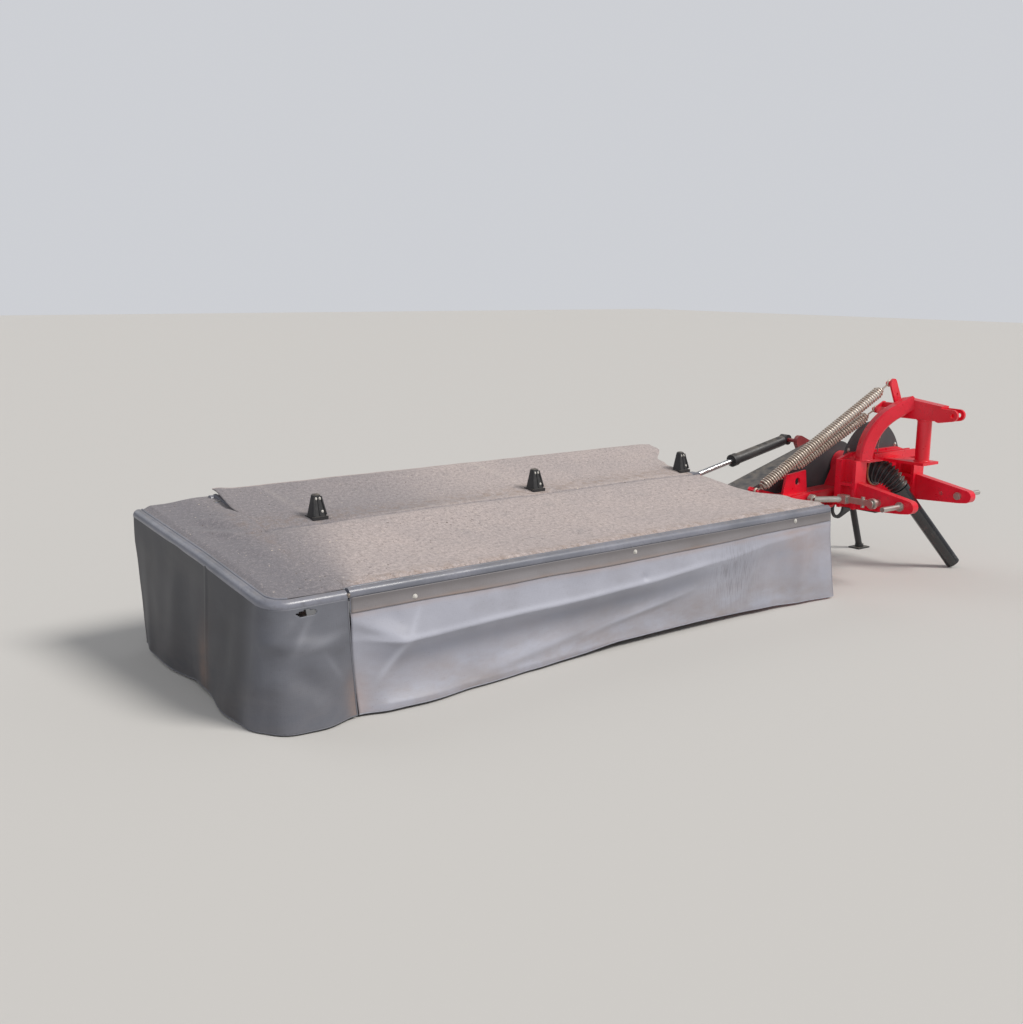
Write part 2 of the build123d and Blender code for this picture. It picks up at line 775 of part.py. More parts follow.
def pto_guard_tube():
    start = joint_centre() + shaft_direction() * tube_start
    end = Vector(*tube_end)
    tube = rod(start, end, tube_radius)
    tube += rod(start, start + shaft_direction() * 26, tube_radius + 12)
    tube -= rod(start - shaft_direction(), end, sleeve_radius)
    tube -= rod(end - shaft_direction() * socket_length, end + shaft_direction(), tube_radius - tube_wall)
    return tube



def bellows_point(share):
    """Centre line of the bellows, from the plate round the bend to the shaft guard."""
    start = Vector(input_x, block_rear_y - 9, input_z)
    bend = joint_centre()
    end = bend + shaft_direction() * (tube_start - 10)
    return start * (1 - share) ** 2 + bend * (2 * share * (1 - share)) + end * share ** 2


def pto_bellows():
    body = None
    for rib in range(bellows_ribs):
        share = (rib + 0.5) / bellows_ribs
        radius = 84 - 32 * share
        step = 0.5 / bellows_ribs
        here = bellows_point(share)
        along = (bellows_point(share + step) - bellows_point(share - step))
        length = along.length
        half = Cone(radius - 9, radius, length / 2 + 1)
        ring = Pos(0, 0, -length / 4) * half + Pos(0, 0, length / 4) * Rot(180, 0, 0) * half
        ring -= Cylinder(radius - 12.5, 2 * length)
        ring = Plane(origin=here, z_dir=along) * ring
        body = ring if body is None else body + ring
    return body


def pto_hook():
    wire = [
        (768, 200, 949.7), (768, 202, 905), (760, 240, 820), (784, 275, 730), (790, 281, 665),
    ]
    path = FilletPolyline(*wire, radius=12)
    hook = sweep(Plane(origin=path @ 0, z_dir=path % 0) * Circle(3.5), path=path)
    clip = rod_y(input_x, input_z, 89, 276, 287) - rod_y(input_x, input_z, 84.5, 275, 288)
    return hook + clip


# Parking stand

def stand_bracket():
    seat = block_rear_y + back_plate + shield_plate
    bracket = box(input_x + 90, input_x + 140, seat, stand_y - 42, stand_z - 25, stand_z + 25)
    bracket += box(input_x + 90, input_x + 140, seat, seat + 12, stand_z - 25, 470)
    face = strap((input_x + 75, stand_z - 30, 66), (stand_x, stand_z, 34))
    face -= Pos(input_x + 70, stand_z - 32) * Circle(45)
    bracket += facing_y(face, stand_y - 42, stand_y - 28)
    bracket += rod_y(stand_x, stand_z, 12, stand_y - 28, stand_y + 30)
    bracket += rod_y(stand_x, stand_z, 18, stand_y + 24, stand_y + 30)
    return bracket


def stand_leg():
    leg = rod((stand_x, stand_y, stand_z), (stand_foot_x, stand_y, 12), stand_tube_radius)
    leg += rod_y(stand_x, stand_z, 24, stand_y - 23, stand_y + 22)
    leg += box(stand_foot_x - 55, stand_foot_x + 55, stand_y - 40, stand_y + 40, 0, 8)
    leg += rod_z(stand_foot_x, stand_y, 26, 8, 26)
    leg -= rod_y(stand_x, stand_z, 12 + running, stand_y - 40, stand_y + 40)
    return leg


# Breakaway link

def break_link():
    pivot_x = near_arm_x - 80
    end = Vector(302, plate_front_y - 26, 440)
    link = rod_x(link_pin_y, pin_z, 30, pivot_x - 10, pivot_x + 10)
    bar = outline(
        (link_pin_y, pin_z - 16), (link_pin_y + 190, pin_z - 16),
        (link_pin_y + 190, pin_z + 16), (link_pin_y, pin_z + 16),
    )
    link += facing_x(bar, pivot_x - 10, pivot_x + 10)
    link += box(pivot_x - 24, pivot_x + 20, link_pin_y + 160, link_pin_y + 215, pin_z - 24, pin_z + 24)
    link += rod((pivot_x - 4, link_pin_y + 190, pin_z), end, 17)
    link += rod_z(pivot_x, link_pin_y + 60, 11, pin_z - 30, pin_z + 30)
    link += rod_y(end.X, end.Z, 30, end.Y - 12, end.Y + 12)
    link -= rod_y(end.X, end.Z, 12, end.Y - 20, end.Y + 20)
    link -= rod_x(link_pin_y, pin_z, 12 + running, pivot_x - 40, pivot_x + 40)
    return link


def link_bolt():
    bolt = rod_x(link_pin_y, pin_z, 12, near_arm_x - 100, near_arm_x + 46)
    bolt += rod_x(link_pin_y, pin_z, 20, near_arm_x - 104, near_arm_x - 93)
    bolt += rod_x(link_pin_y, pin_z, 20, near_arm_x - 66, near_arm_x - 25)
    bolt += rod_x(link_pin_y, pin_z, 20, near_arm_x + 25, near_arm_x + 38)
    return bolt


# Lift cylinder

def lift_line():
    base = Vector(lift_base_x, lift_y, lift_base_z)
    lug = Vector(lift_lug_x, lift_y, lift_lug_z)
    return base, lug, (lug - base).normalized()


def lift_barrel():
    base, lug, along = lift_line()
    barrel = rod(base + along * 30, base + along * barrel_length, barrel_radius)
    barrel += rod(base + along * (barrel_length - 40), base + along * barrel_length, barrel_radius + 5)
    barrel += rod_y(base.X, base.Z, eye_radius + 4, lift_y - 26, lift_y + 26)
    barrel += rod(base, base + along * 60, 20)
    barrel -= rod(base + along * 70, base + along * (barrel_length + 1), lift_rod_radius + running)
    barrel -= rod_y(base.X, base.Z, lift_pin_radius + running, lift_y - 40, lift_y + 40)
    return barrel


def lift_rod():
    base, lug, along = lift_line()
    piston = rod(base + along * (barrel_length - lift_overlap), lug - along * 20, lift_rod_radius)
    piston += rod_y(lug.X, lug.Z, eye_radius, lift_y - 24, lift_y + 24)
    piston -= rod_y(lug.X, lug.Z, lift_pin_radius, lift_y - 40, lift_y + 40)
    return piston


# Relief springs

def relief_spring(top, foot, foot_hook):
    """A close-wound tension spring between two pins that lie along Y, with an eye at each end."""
    top_hook = 62
    along = (foot - top).normalized()
    body_start = top + along * top_hook
    body_end = foot - along * foot_hook
    length = (body_end - body_start).length
    turns = int(length / spring_pitch)
    pitch = length / turns
    profile = [(0, 0), (spring_radius - 5, 0)]
    for turn in range(turns):
        profile.append((spring_radius, (turn + 0.5) * pitch))
        profile.append((spring_radius - 5, (turn + 1) * pitch))
    profile.append((0, length))
    face = make_face(Polyline(*profile, close=True))
    coil = Plane(origin=body_start, z_dir=along) * revolve(Plane.XZ * face, axis=Axis.Z)
    eye_outer = spring_pin_radius + 2 * spring_eye
    for pin, end, way in ((top, body_start, along), (foot, body_end, along * -1)):
        coil += rod(pin + way * (spring_pin_radius + spring_eye), end, spring_eye)
        coil += rod_y(pin.X, pin.Z, eye_outer, pin.Y - spring_eye, pin.Y + spring_eye)
        coil -= rod_y(pin.X, pin.Z, spring_pin_radius + running, pin.Y - 30, pin.Y + 30)
    return coil


def input_shield():
    face = Pos(input_x, input_z) * Circle(shield_radius)
    face &= Pos(input_x, input_z + 100) * Rectangle(2 * shield_radius, 2 * shield_radius - 70)
    face -= Pos(input_x, input_z) * Circle(80)
    return facing_y(face, block_rear_y + back_plate, block_rear_y + back_plate + shield_plate)


builders = {
    "lower_arm_near": lower_arm_near,
    "lower_arm_far": lower_arm_far,
    "lower_link_pins": lower_link_pins,
    "link_bolt": link_bolt,
    "headstock_plate": headstock_plate,
    "bridge_post": bridge,
    "mast_arm": mast_arm,
    "top_link_arm": top_link_arm,
    "spring_bracket": spring_bracket,
    "input_housing": input_housing,
    "input_shield": input_shield,
    "pto_bellows": pto_bellows,
    "pto_hook": pto_hook,
    "stand_bracket": stand_bracket,
    "stand_leg": stand_leg,
    "pto_yoke": pto_yoke,
    "pto_guard_tube": pto_guard_tube,
    "carrier_frame": carrier_frame,
    "carrier_rear_plate": carrier_rear_plate,
    "belt_guard": belt_guard,
    "break_link": break_link,
    "lift_barrel": lift_barrel,
    "lift_rod": lift_rod,
    "gearbox": gearbox,
    "cutterbar": cutterbar,
    "skids": skids,
    "inner_end_plate": inner_end_plate,
    "outer_shoe": outer_shoe,
    "fold_cheek_front": fold_cheek_front,
    "fold_cheek_rear": fold_cheek_rear,
    "cover_beam": cover_beam,
    "rear_frame": rear_frame,
    "rear_top_sheet": rear_top_sheet,
    "rear_curtain": rear_curtain,
    "hinge_cones": hinge_cones,
    "end_brackets": end_brackets,
    "front_frame": front_frame,
    "front_top_sheet": front_top_sheet,
    "front_curtain": front_curtain,
    "end_frame": end_frame,
    "end_top_sheet": end_top_sheet,
    "end_curtain": end_curtain,
}

for name, build in builders.items():
    parts[name] = build()
for index in range(disc_count):
    parts[f"disc_{index + 1}"] = disc(index)
parts["relief_spring_front"] = relief_spring(front_spring_top, front_spring_foot, 40)
parts["relief_spring_rear"] = relief_spring(rear_spring_top, rear_spring_foot, 100)


def solids_of(shape):
    pieces = shape if isinstance(shape, list) else [shape]
    return [solid for piece in pieces for solid in piece.solids()]


every_solid = Compound(children=[s for shape in parts.values() for s in solids_of(shape)])
bounds = every_solid.bounding_box()
shift = Pos(-(bounds.min.X + bounds.max.X) / 2, -(bounds.min.Y + bounds.max.Y) / 2, -bounds.min.Z)
print("shift", shift.position, "size", bounds.size)

for name, shape in parts.items():
    solids = [shift * solid for solid in solids_of(shape)]
    export_step(solids[0] if len(solids) == 1 else Compound(children=solids), f"parts/{name}.step")
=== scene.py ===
# %% [markdown]
# # A rear-mounted disc mower under its cloth cover
# The machine hangs behind a tractor. Seven discs turn under a long cover of coated cloth, and a
# red headstock carries it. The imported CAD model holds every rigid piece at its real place. This
# lesson gives those pieces their paint, steel and rubber, and makes what CAD does badly: cloth
# that sags and dents, coils of spring wire, a rubber boot, welds and rivets.

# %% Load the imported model
import json
import math
import bmesh
import bpy
from mathutils import Matrix, Vector, noise


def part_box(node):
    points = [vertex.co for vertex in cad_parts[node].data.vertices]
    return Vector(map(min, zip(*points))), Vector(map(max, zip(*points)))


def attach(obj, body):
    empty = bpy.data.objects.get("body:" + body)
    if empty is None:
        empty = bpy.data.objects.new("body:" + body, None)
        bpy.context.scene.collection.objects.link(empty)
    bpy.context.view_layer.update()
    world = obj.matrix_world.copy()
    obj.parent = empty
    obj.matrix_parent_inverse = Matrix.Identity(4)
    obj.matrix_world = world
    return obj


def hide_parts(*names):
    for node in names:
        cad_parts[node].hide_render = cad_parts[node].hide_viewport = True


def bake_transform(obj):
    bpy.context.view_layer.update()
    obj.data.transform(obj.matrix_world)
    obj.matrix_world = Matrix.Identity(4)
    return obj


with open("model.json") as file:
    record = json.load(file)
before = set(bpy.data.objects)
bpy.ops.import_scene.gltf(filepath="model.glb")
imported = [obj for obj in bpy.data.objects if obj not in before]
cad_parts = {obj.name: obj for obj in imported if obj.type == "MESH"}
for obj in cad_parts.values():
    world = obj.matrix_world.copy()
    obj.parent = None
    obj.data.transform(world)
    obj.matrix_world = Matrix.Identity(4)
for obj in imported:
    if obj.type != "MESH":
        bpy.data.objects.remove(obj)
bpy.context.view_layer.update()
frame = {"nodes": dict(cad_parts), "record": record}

# %% [markdown]
# Every size below runs from one corner of the cover: where the front rail ends at the machine's
# inner side. The cutting side lies towards -X, the rear towards +Y. Taking the corner from the
# packed curtain keeps the lesson right if the model moves.

# %% The cover's inner front corner
STRIP = 0.003
corner = Vector((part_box("front_curtain")[1].x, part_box("front_curtain")[0].y + STRIP, 0))


def at(x, y, z):
    return corner + Vector((x, y, z))


print("corner", tuple(round(v, 4) for v in corner))

# %% [markdown]
# The camera stands off the cutting side at the height of standing eyes and looks down eleven
# degrees. Its focal length of 42 mm is for a frame 36 mm wide.

# %% Camera
VIEW_YAW = math.radians(38.54)
VIEW_PITCH = math.radians(11.08)
VIEW_ROLL = math.radians(0.63)
bpy.ops.object.select_all(action="DESELECT")
bpy.ops.object.camera_add(location=at(-5.187, -3.804, 1.656))
camera = bpy.context.object
turn = (
    Matrix.Rotation(-VIEW_YAW, 4, "Z")
    @ Matrix.Rotation(math.pi / 2 - VIEW_PITCH, 4, "X")
    @ Matrix.Rotation(VIEW_ROLL, 4, "Z")
)
camera.rotation_euler = turn.to_euler()
camera.data.sensor_fit = "HORIZONTAL"
camera.data.sensor_width = 36.0
camera.data.lens = 42.1
bpy.context.scene.camera = camera
bpy.context.scene.view_settings.view_transform = "Standard"
print("camera", tuple(round(v, 3) for v in camera.location))

# %% [markdown]
# The studio is a pale floor under an even sky and three lamps. The key lamp stands ahead and to
# the right, so the top and the front curtain are bright and the end face stays darker, as in the
# open. A weak lamp lights the rear, and a weak fill from the camera's side opens the shadows on
# the red paint. Sun lamps with a wide disc light the floor evenly to the horizon and keep its
# shadows soft. The camera sees a brighter sky than the one that lights the machine.

# %% Floor, world and lamps
bpy.ops.mesh.primitive_plane_add(size=90, location=(0, 0, 0))
floor = bpy.context.object
floor.name = "floor"


def plain_material(name, colour, roughness):
    material = bpy.data.materials.new(name)
    material.use_nodes = True
    shader = material.node_tree.nodes["Principled BSDF"]
    shader.inputs["Base Color"].default_value = (*colour, 1)
    shader.inputs["Roughness"].default_value = roughness
    return material


floor.data.materials.append(plain_material("pale_floor", (0.60, 0.585, 0.56), 0.9))

world = bpy.data.worlds.new("studio")
bpy.context.scene.world = world
world.use_nodes = True
tree = world.node_tree
sky = tree.nodes["Background"]
sky.inputs["Color"].default_value = (0.93, 0.95, 1.0, 1)
path = tree.nodes.new("ShaderNodeLightPath")
share = tree.nodes.new("ShaderNodeMix")
share.data_type = "FLOAT"
share.inputs["A"].default_value = 0.34
share.inputs["B"].default_value = 0.66
tree.links.new(path.outputs["Is Camera Ray"], share.inputs["Factor"])
tree.links.new(share.outputs["Result"], sky.inputs["Strength"])


def broad_lamp(name, towards, strength, width, colour):
    """A sun lamp seen from the object in the direction towards, its disc width degrees wide."""
    bpy.ops.object.light_add(type="SUN", location=Vector(towards) * 6)
    light = bpy.context.object
    light.name = name
    light.data.energy = strength
    light.data.angle = math.radians(width)
    light.data.color = colour
    light.rotation_euler = (-Vector(towards)).to_track_quat("-Z", "Y").to_euler()
    return light


broad_lamp("key_lamp", (0.42, -0.58, 0.80), 2.5, 22, (1, 0.97, 0.93))
broad_lamp("rear_lamp", (-0.25, 0.75, 0.60), 0.35, 40, (0.95, 0.97, 1))
broad_lamp("fill_lamp", (-0.70, -0.60, 0.35), 0.45, 50, (0.97, 0.98, 1))

# %% [markdown]
# ## Finishes
# A finish is more than a colour. Each one here mixes its colour with a slow fade and a finer
# grain, lays dust on what faces up, and moves the normals with the same grain. The patterns read
# the object's own coordinates in metres, so they hold still when a piece moves.

# %% Helpers for materials
class Finish:
    """A material under construction: its nodes, and a few words for common steps."""

    def __init__(self, name, colour, roughness, metallic=0.0, coords="Object"):
        self.material = bpy.data.materials.new(name)
        self.material.use_nodes = True
        self.nodes = self.material.node_tree.nodes
        self.links = self.material.node_tree.links
        self.shader = self.nodes["Principled BSDF"]
        self.shader.inputs["Roughness"].default_value = roughness
        self.shader.inputs["Metallic"].default_value = metallic
        self.place = self.nodes.new("ShaderNodeTexCoord").outputs[coords]
        self.colour = None
        self.normal = None
        self.base = (*colour, 1)

    def stretched(self, scale):
        mapping = self.nodes.new("ShaderNodeMapping")
        mapping.inputs["Scale"].default_value = scale
        self.links.new(self.place, mapping.inputs["Vector"])
        return mapping.outputs["Vector"]

    def noise(self, scale, detail=4.0, roughness=0.55, stretch=None):
        pattern = self.nodes.new("ShaderNodeTexNoise")
        pattern.inputs["Scale"].default_value = scale
        pattern.inputs["Detail"].default_value = detail
        pattern.inputs["Roughness"].default_value = roughness
        source = self.stretched(stretch) if stretch else self.place
        self.links.new(source, pattern.inputs["Vector"])
        return pattern.outputs["Fac"]

    def between(self, value, low, high):
        """Stretch the part of a pattern from low to high to the whole range."""
        ramp = self.nodes.new("ShaderNodeMapRange")
        ramp.inputs["From Min"].default_value = low
        ramp.inputs["From Max"].default_value = high
        self.links.new(value, ramp.inputs["Value"])
        return ramp.outputs["Result"]

    def math(self, action, first, second):
        node = self.nodes.new("ShaderNodeMath")
        node.operation = action
        for socket, value in zip(node.inputs, (first, second)):
            if isinstance(value, (int, float)):
                socket.default_value = value
            else:
                self.links.new(value, socket)
        return node.outputs["Value"]

    def tint(self, mask, colour, share=1.0):
        """Lay a colour over what is there, where the mask is high."""
        mix = self.nodes.new("ShaderNodeMix")
        mix.data_type = "RGBA"
        if share < 1:
            mask = self.math("MULTIPLY", mask, share)
        self.links.new(mask, mix.inputs["Factor"])
        if self.colour is None:
            mix.inputs["A"].default_value = self.base
        else:
            self.links.new(self.colour, mix.inputs["A"])
        mix.inputs["B"].default_value = (*colour, 1)
        self.colour = mix.outputs["Result"]

    def bump(self, height, strength, distance):
        bump = self.nodes.new("ShaderNodeBump")
        bump.inputs["Strength"].default_value = strength
        bump.inputs["Distance"].default_value = distance
        self.links.new(height, bump.inputs["Height"])
        if self.normal is not None:
            self.links.new(self.normal, bump.inputs["Normal"])
        self.normal = bump.outputs["Normal"]

    def rough(self, mask, low, high):
        ramp = self.nodes.new("ShaderNodeMapRange")
        ramp.inputs["To Min"].default_value = low
        ramp.inputs["To Max"].default_value = high
        self.links.new(mask, ramp.inputs["Value"])
        self.links.new(ramp.outputs["Result"], self.shader.inputs["Roughness"])

    def upward(self, low=0.55, high=0.98):
        """High where the surface faces up, where dust settles."""
        geometry = self.nodes.new("ShaderNodeNewGeometry")
        split = self.nodes.new("ShaderNodeSeparateXYZ")
        self.links.new(geometry.outputs["Normal"], split.inputs["Vector"])
        return self.between(split.outputs["Z"], low, high)

    def marks(self):
        """The four shares that a cloth stores at each point: pale, brown, dark and rubbed."""
        stored = self.nodes.new("ShaderNodeAttribute")
        stored.attribute_name = "marks"
        split = self.nodes.new("ShaderNodeSeparateColor")
        self.links.new(stored.outputs["Color"], split.inputs["Color"])
        return split.outputs["Red"], split.outputs["Green"], split.outputs["Blue"], stored.outputs["Alpha"]

    def part(self, axis):
        split = self.nodes.new("ShaderNodeSeparateXYZ")
        self.links.new(self.place, split.inputs["Vector"])
        return split.outputs[axis]

    def done(self):
        if self.colour is None:
            self.shader.inputs["Base Color"].default_value = self.base
        else:
            self.links.new(self.colour, self.shader.inputs["Base Color"])
        if self.normal is not None:
            self.links.new(self.normal, self.shader.inputs["Normal"])
        return self.material


DUST = (0.42, 0.36, 0.29)

# %% [markdown]
# Farm paint is sprayed thick and bakes in the sun. It fades in clouds, holds a little orange
# peel, chips to dark steel in small spots, and gathers dust on top. One function makes each
# painted colour, so red, dark red, black, grey and slate are of one family.

# %% Paint
def paint(name, colour, faded, roughness=0.32, coat=0.25, chips=0.735, dust=0.35):
    finish = Finish(name, colour, roughness)
    finish.shader.inputs["Coat Weight"].default_value = coat
    finish.shader.inputs["Coat Roughness"].default_value = 0.18
    clouds = finish.noise(3.2, 5)
    finish.tint(finish.between(clouds, 0.38, 0.68), faded)
    grain = finish.noise(60, 6, 0.7)
    grime = finish.math("MULTIPLY", finish.between(grain, 0.5, 0.78), finish.between(clouds, 0.35, 0.6))
    finish.tint(grime, (0.06, 0.045, 0.04), 0.35)
    dusty = finish.math("MULTIPLY", finish.upward(), finish.between(finish.noise(26, 5), 0.3, 0.7))
    finish.tint(dusty, DUST, dust)
    chip = finish.between(finish.noise(42, 8, 0.75), chips, chips + 0.015)
    finish.tint(chip, (0.05, 0.04, 0.035), 0.9)
    finish.rough(finish.between(finish.noise(18, 4), 0.3, 0.7), roughness - 0.06, roughness + 0.16)
    finish.bump(finish.noise(240, 2), 0.06, 0.0006)
    finish.bump(chip, 0.3, 0.0004)
    return finish.done()


red_paint = paint("red_paint", (0.76, 0.003, 0.020), (0.88, 0.020, 0.050), 0.30, 0.25, 0.75, 0.18)
dark_red_paint = paint("dark_red_paint", (0.27, 0.018, 0.024), (0.38, 0.05, 0.055))
black_paint = paint("black_paint", (0.022, 0.022, 0.025), (0.05, 0.048, 0.048), 0.42, 0.1)
grey_guard = paint("grey_guard", (0.055, 0.058, 0.064), (0.09, 0.09, 0.095), 0.5, 0.0)
slate_frame = paint("slate_frame", (0.155, 0.163, 0.195), (0.23, 0.235, 0.28), 0.34, 0.25, 0.76, 0.25)
print("paints", red_paint.name, dark_red_paint.name, black_paint.name, grey_guard.name, slate_frame.name)

# %% [markdown]
# Steel and cast iron: zinc plate has a dull, patchy shine, cutting steel is brown where the crop
# no longer polishes it, chrome is bright with a few dull patches, and castings are rough all over.

# %% Metals
def metal(name, colour, stain, roughness, metallic, stains=0.5, bumps=0.15, grain=90):
    finish = Finish(name, colour, roughness, metallic)
    patches = finish.noise(14, 6, 0.65)
    finish.tint(finish.between(patches, 0.45, 0.72), stain, stains)
    finish.tint(finish.math("MULTIPLY", finish.upward(), finish.between(patches, 0.35, 0.65)), DUST, 0.25)
    finish.rough(finish.between(patches, 0.3, 0.7), roughness - 0.08, roughness + 0.2)
    finish.bump(finish.noise(grain, 5, 0.7), bumps, 0.001)
    return finish.done()


zinc = metal("zinc", (0.56, 0.54, 0.50), (0.34, 0.30, 0.24), 0.38, 0.85, 0.6, 0.08, 160)
spring_steel = metal("spring_steel", (0.68, 0.59, 0.51), (0.46, 0.34, 0.24), 0.36, 0.55, 0.6, 0.06, 160)
chrome = metal("chrome", (0.82, 0.82, 0.83), (0.6, 0.58, 0.55), 0.16, 1.0, 0.4, 0.003, 200)
worn_steel = metal("worn_steel", (0.33, 0.31, 0.29), (0.20, 0.105, 0.055), 0.42, 0.8, 0.85, 0.3, 120)
cast_housing = metal("cast_housing", (0.20, 0.20, 0.205), (0.13, 0.11, 0.09), 0.55, 0.35, 0.6, 0.6, 130)
print("metals", zinc.name, spring_steel.name, chrome.name, worn_steel.name, cast_housing.name)

# %% [markdown]
# Plastic and rubber are dark and nearly plain, so their shine tells them apart: the shaft guard
# is glossy, while the hinge caps and the bellows have a soft shine under pale dust.

# %% Plastic and rubber
def moulded(name, colour, roughness, coat, dust, grain):
    finish = Finish(name, colour, roughness)
    finish.shader.inputs["Coat Weight"].default_value = coat
    scuffs = finish.noise(22, 6, 0.7)
    finish.tint(finish.between(scuffs, 0.52, 0.8), (0.11, 0.105, 0.10), 0.5)
    finish.tint(finish.math("MULTIPLY", finish.upward(0.3), finish.between(scuffs, 0.3, 0.7)), DUST, dust)
    finish.rough(finish.between(scuffs, 0.3, 0.7), roughness - 0.05, roughness + 0.2)
    finish.bump(finish.noise(grain, 3), 0.08, 0.0005)
    return finish.done()


black_plastic = moulded("black_plastic", (0.028, 0.028, 0.030), 0.45, 0.0, 0.5, 300)
gloss_black = moulded("gloss_black", (0.010, 0.010, 0.012), 0.14, 0.9, 0.04, 120)
rubber = moulded("rubber", (0.030, 0.030, 0.033), 0.34, 0.15, 0.5, 260)
print("plastic and rubber", black_plastic.name, gloss_black.name, rubber.name)

# %% [markdown]
# The cover is polyester cloth with a grey coating. Close up, the weave shows through the coating
# as a fine square relief. Years of dust lie on the top, with darker specks and stains of leaf
# litter. The hanging curtains are cooler and clouded along their length, with soil above the hem
# and scratches that run down. The patterns follow the cloth, so they read its UV map, which is
# laid out in metres.

# %% Coated cloth
RADIANS_PER_METRE = 20


def weave(finish, thread, strength):
    """Threads both ways, as a relief. One thread is half a wave of the texture."""
    scale = 3.14159 / RADIANS_PER_METRE / thread
    threads = []
    for direction in ("X", "Y"):
        wave = finish.nodes.new("ShaderNodeTexWave")
        wave.bands_direction = direction
        wave.inputs["Scale"].default_value = scale
        finish.links.new(finish.place, wave.inputs["Vector"])
        threads.append(wave.outputs["Fac"])
    finish.bump(finish.math("MULTIPLY", *threads), strength, 0.0006)


def top_cloth_finish():
    finish = Finish("top_cloth", (0.43, 0.37, 0.36), 0.88, coords="UV")
    finish.shader.inputs["Sheen Weight"].default_value = 0.12
    pale, brown, dark = finish.marks()[:3]
    clouds = finish.noise(2.1, 6, 0.6)
    finish.tint(finish.between(clouds, 0.35, 0.68), (0.55, 0.46, 0.43), 0.7)
    blotches = finish.noise(9, 7, 0.68)
    finish.tint(finish.between(blotches, 0.54, 0.72), (0.30, 0.275, 0.275), 0.5)
    # Where the dark share is high the cloth is darker: towards the outer end, and as painted shade in the
    # crease's valley.
    finish.tint(dark, (0.150, 0.152, 0.178), 0.6)
    mottle = finish.noise(52, 6, 0.8)
    finish.tint(finish.between(mottle, 0.50, 0.62), (0.16, 0.138, 0.135), 0.6)
    finish.tint(finish.between(mottle, 0.47, 0.37), (0.70, 0.61, 0.58), 0.5)
    litter = finish.between(finish.noise(24, 6, 0.72), 0.44, 0.60)
    finish.tint(finish.math("MULTIPLY", brown, litter), (0.29, 0.20, 0.145), 0.85)
    worn_pale = finish.math("MULTIPLY", pale, finish.between(blotches, 0.30, 0.55))
    finish.tint(worn_pale, (0.66, 0.58, 0.53), 0.8)
    finish.tint(finish.between(finish.noise(34, 6, 0.7), 0.56, 0.72), (0.27, 0.22, 0.195), 0.5)
    grit = finish.noise(150, 3, 0.7)
    finish.tint(finish.between(grit, 0.50, 0.66), (0.235, 0.20, 0.19), 0.55)
    finish.tint(finish.between(grit, 0.48, 0.34), (0.60, 0.53, 0.50), 0.5)
    finish.tint(dark, (0.105, 0.110, 0.135), 0.5)
    chips = finish.noise(55, 2, 0.5)
    finish.tint(finish.between(chips, 0.70, 0.72), (0.09, 0.065, 0.05), 0.85)
    finish.tint(finish.between(chips, 0.285, 0.27), (0.66, 0.57, 0.46), 0.8)
    weave(finish, 0.004, 0.25)
    finish.bump(blotches, 0.12, 0.004)
    finish.bump(mottle, 0.3, 0.003)
    finish.bump(grit, 0.35, 0.0016)
    return finish.done()


def curtain_finish(name, colour, streak, pale_tone_and_highlight, shade, soil):
    """Hanging cloth: streak darkens it, shade is painted shade where dark is high, the pale colour pales it
    in clouds and is painted highlight where pale is high, and soil is the share above the hem.
    """
    finish = Finish(name, colour, 0.52, coords="UV")
    finish.shader.inputs["Sheen Weight"].default_value = 0.04
    pale, brown, dark, rubbed = finish.marks()
    clouds = finish.noise(1.7, 5, 0.55)
    finish.tint(finish.between(clouds, 0.38, 0.66), pale_tone_and_highlight, 0.6)
    streaks = finish.noise(5, 6, 0.62, stretch=(0.6, 1.0, 1))
    finish.tint(finish.between(streaks, 0.48, 0.72), streak, 0.5)
    # Painted shade, where the dark share is high.
    finish.tint(dark, shade, 0.75)
    low = finish.between(finish.part("Y"), 0.26, 0.0)
    spatter = finish.noise(6, 6, 0.65, stretch=(0.45, 1.1, 1))
    splash = finish.math("MULTIPLY", low, finish.between(spatter, 0.38, 0.64))
    finish.tint(splash, (0.27, 0.225, 0.205), soil)
    rust = finish.math("MULTIPLY", brown, finish.between(streaks, 0.3, 0.6))
    finish.tint(rust, (0.40, 0.25, 0.175), 0.6)
    # Painted highlight on the ridges and creases, where the pale share is high.
    finish.tint(finish.math("MULTIPLY", pale, finish.between(clouds, 0.2, 0.5)), pale_tone_and_highlight, 0.9)
    scratches = finish.noise(30, 3, 0.6, stretch=(6, 0.35, 1))
    scratched = finish.math("MULTIPLY", rubbed, finish.between(scratches, 0.50, 0.58))
    finish.tint(scratched, (0.20, 0.195, 0.215), 0.6)
    finish.tint(finish.between(finish.noise(120, 3, 0.65), 0.60, 0.74), streak, 0.6)
    finish.tint(finish.between(finish.noise(150, 3), 0.68, 0.73), (0.12, 0.10, 0.09), 0.6)
    finish.rough(finish.between(clouds, 0.3, 0.7), 0.44, 0.62)
    weave(finish, 0.004, 0.18)
    finish.bump(finish.noise(11, 4), 0.2, 0.006)
    finish.bump(scratches, 0.05, 0.002)
    return finish.done()


top_cloth = top_cloth_finish()
curtain_cloth = curtain_finish(
    "curtain_cloth",
    (0.335, 0.34, 0.395), (0.26, 0.255, 0.285), (0.45, 0.46, 0.53), (0.205, 0.215, 0.26), 0.75,
)
# The end curtain is the front curtain's cloth in darker colours: painted shade for the end face, which turns
# away from the key lamp.
end_cloth_painted_shade = curtain_finish(
    "end_cloth_painted_shade",
    (0.115, 0.12, 0.142), (0.085, 0.084, 0.094), (0.20, 0.206, 0.235), (0.016, 0.016, 0.018), 0.2,
)
strip_cloth = curtain_finish(
    "strip_cloth",
    (0.205, 0.19, 0.195), (0.15, 0.13, 0.125), (0.27, 0.26, 0.275), (0.12, 0.112, 0.116), 0.0,
)
print("cloths", top_cloth.name, curtain_cloth.name, end_cloth_painted_shade.name, strip_cloth.name)

# %% [markdown]
# Each CAD node gets its finish from the slot that the record names for it. The rigid ones keep
# their shape. The soft ones and the springs are replaced further down.

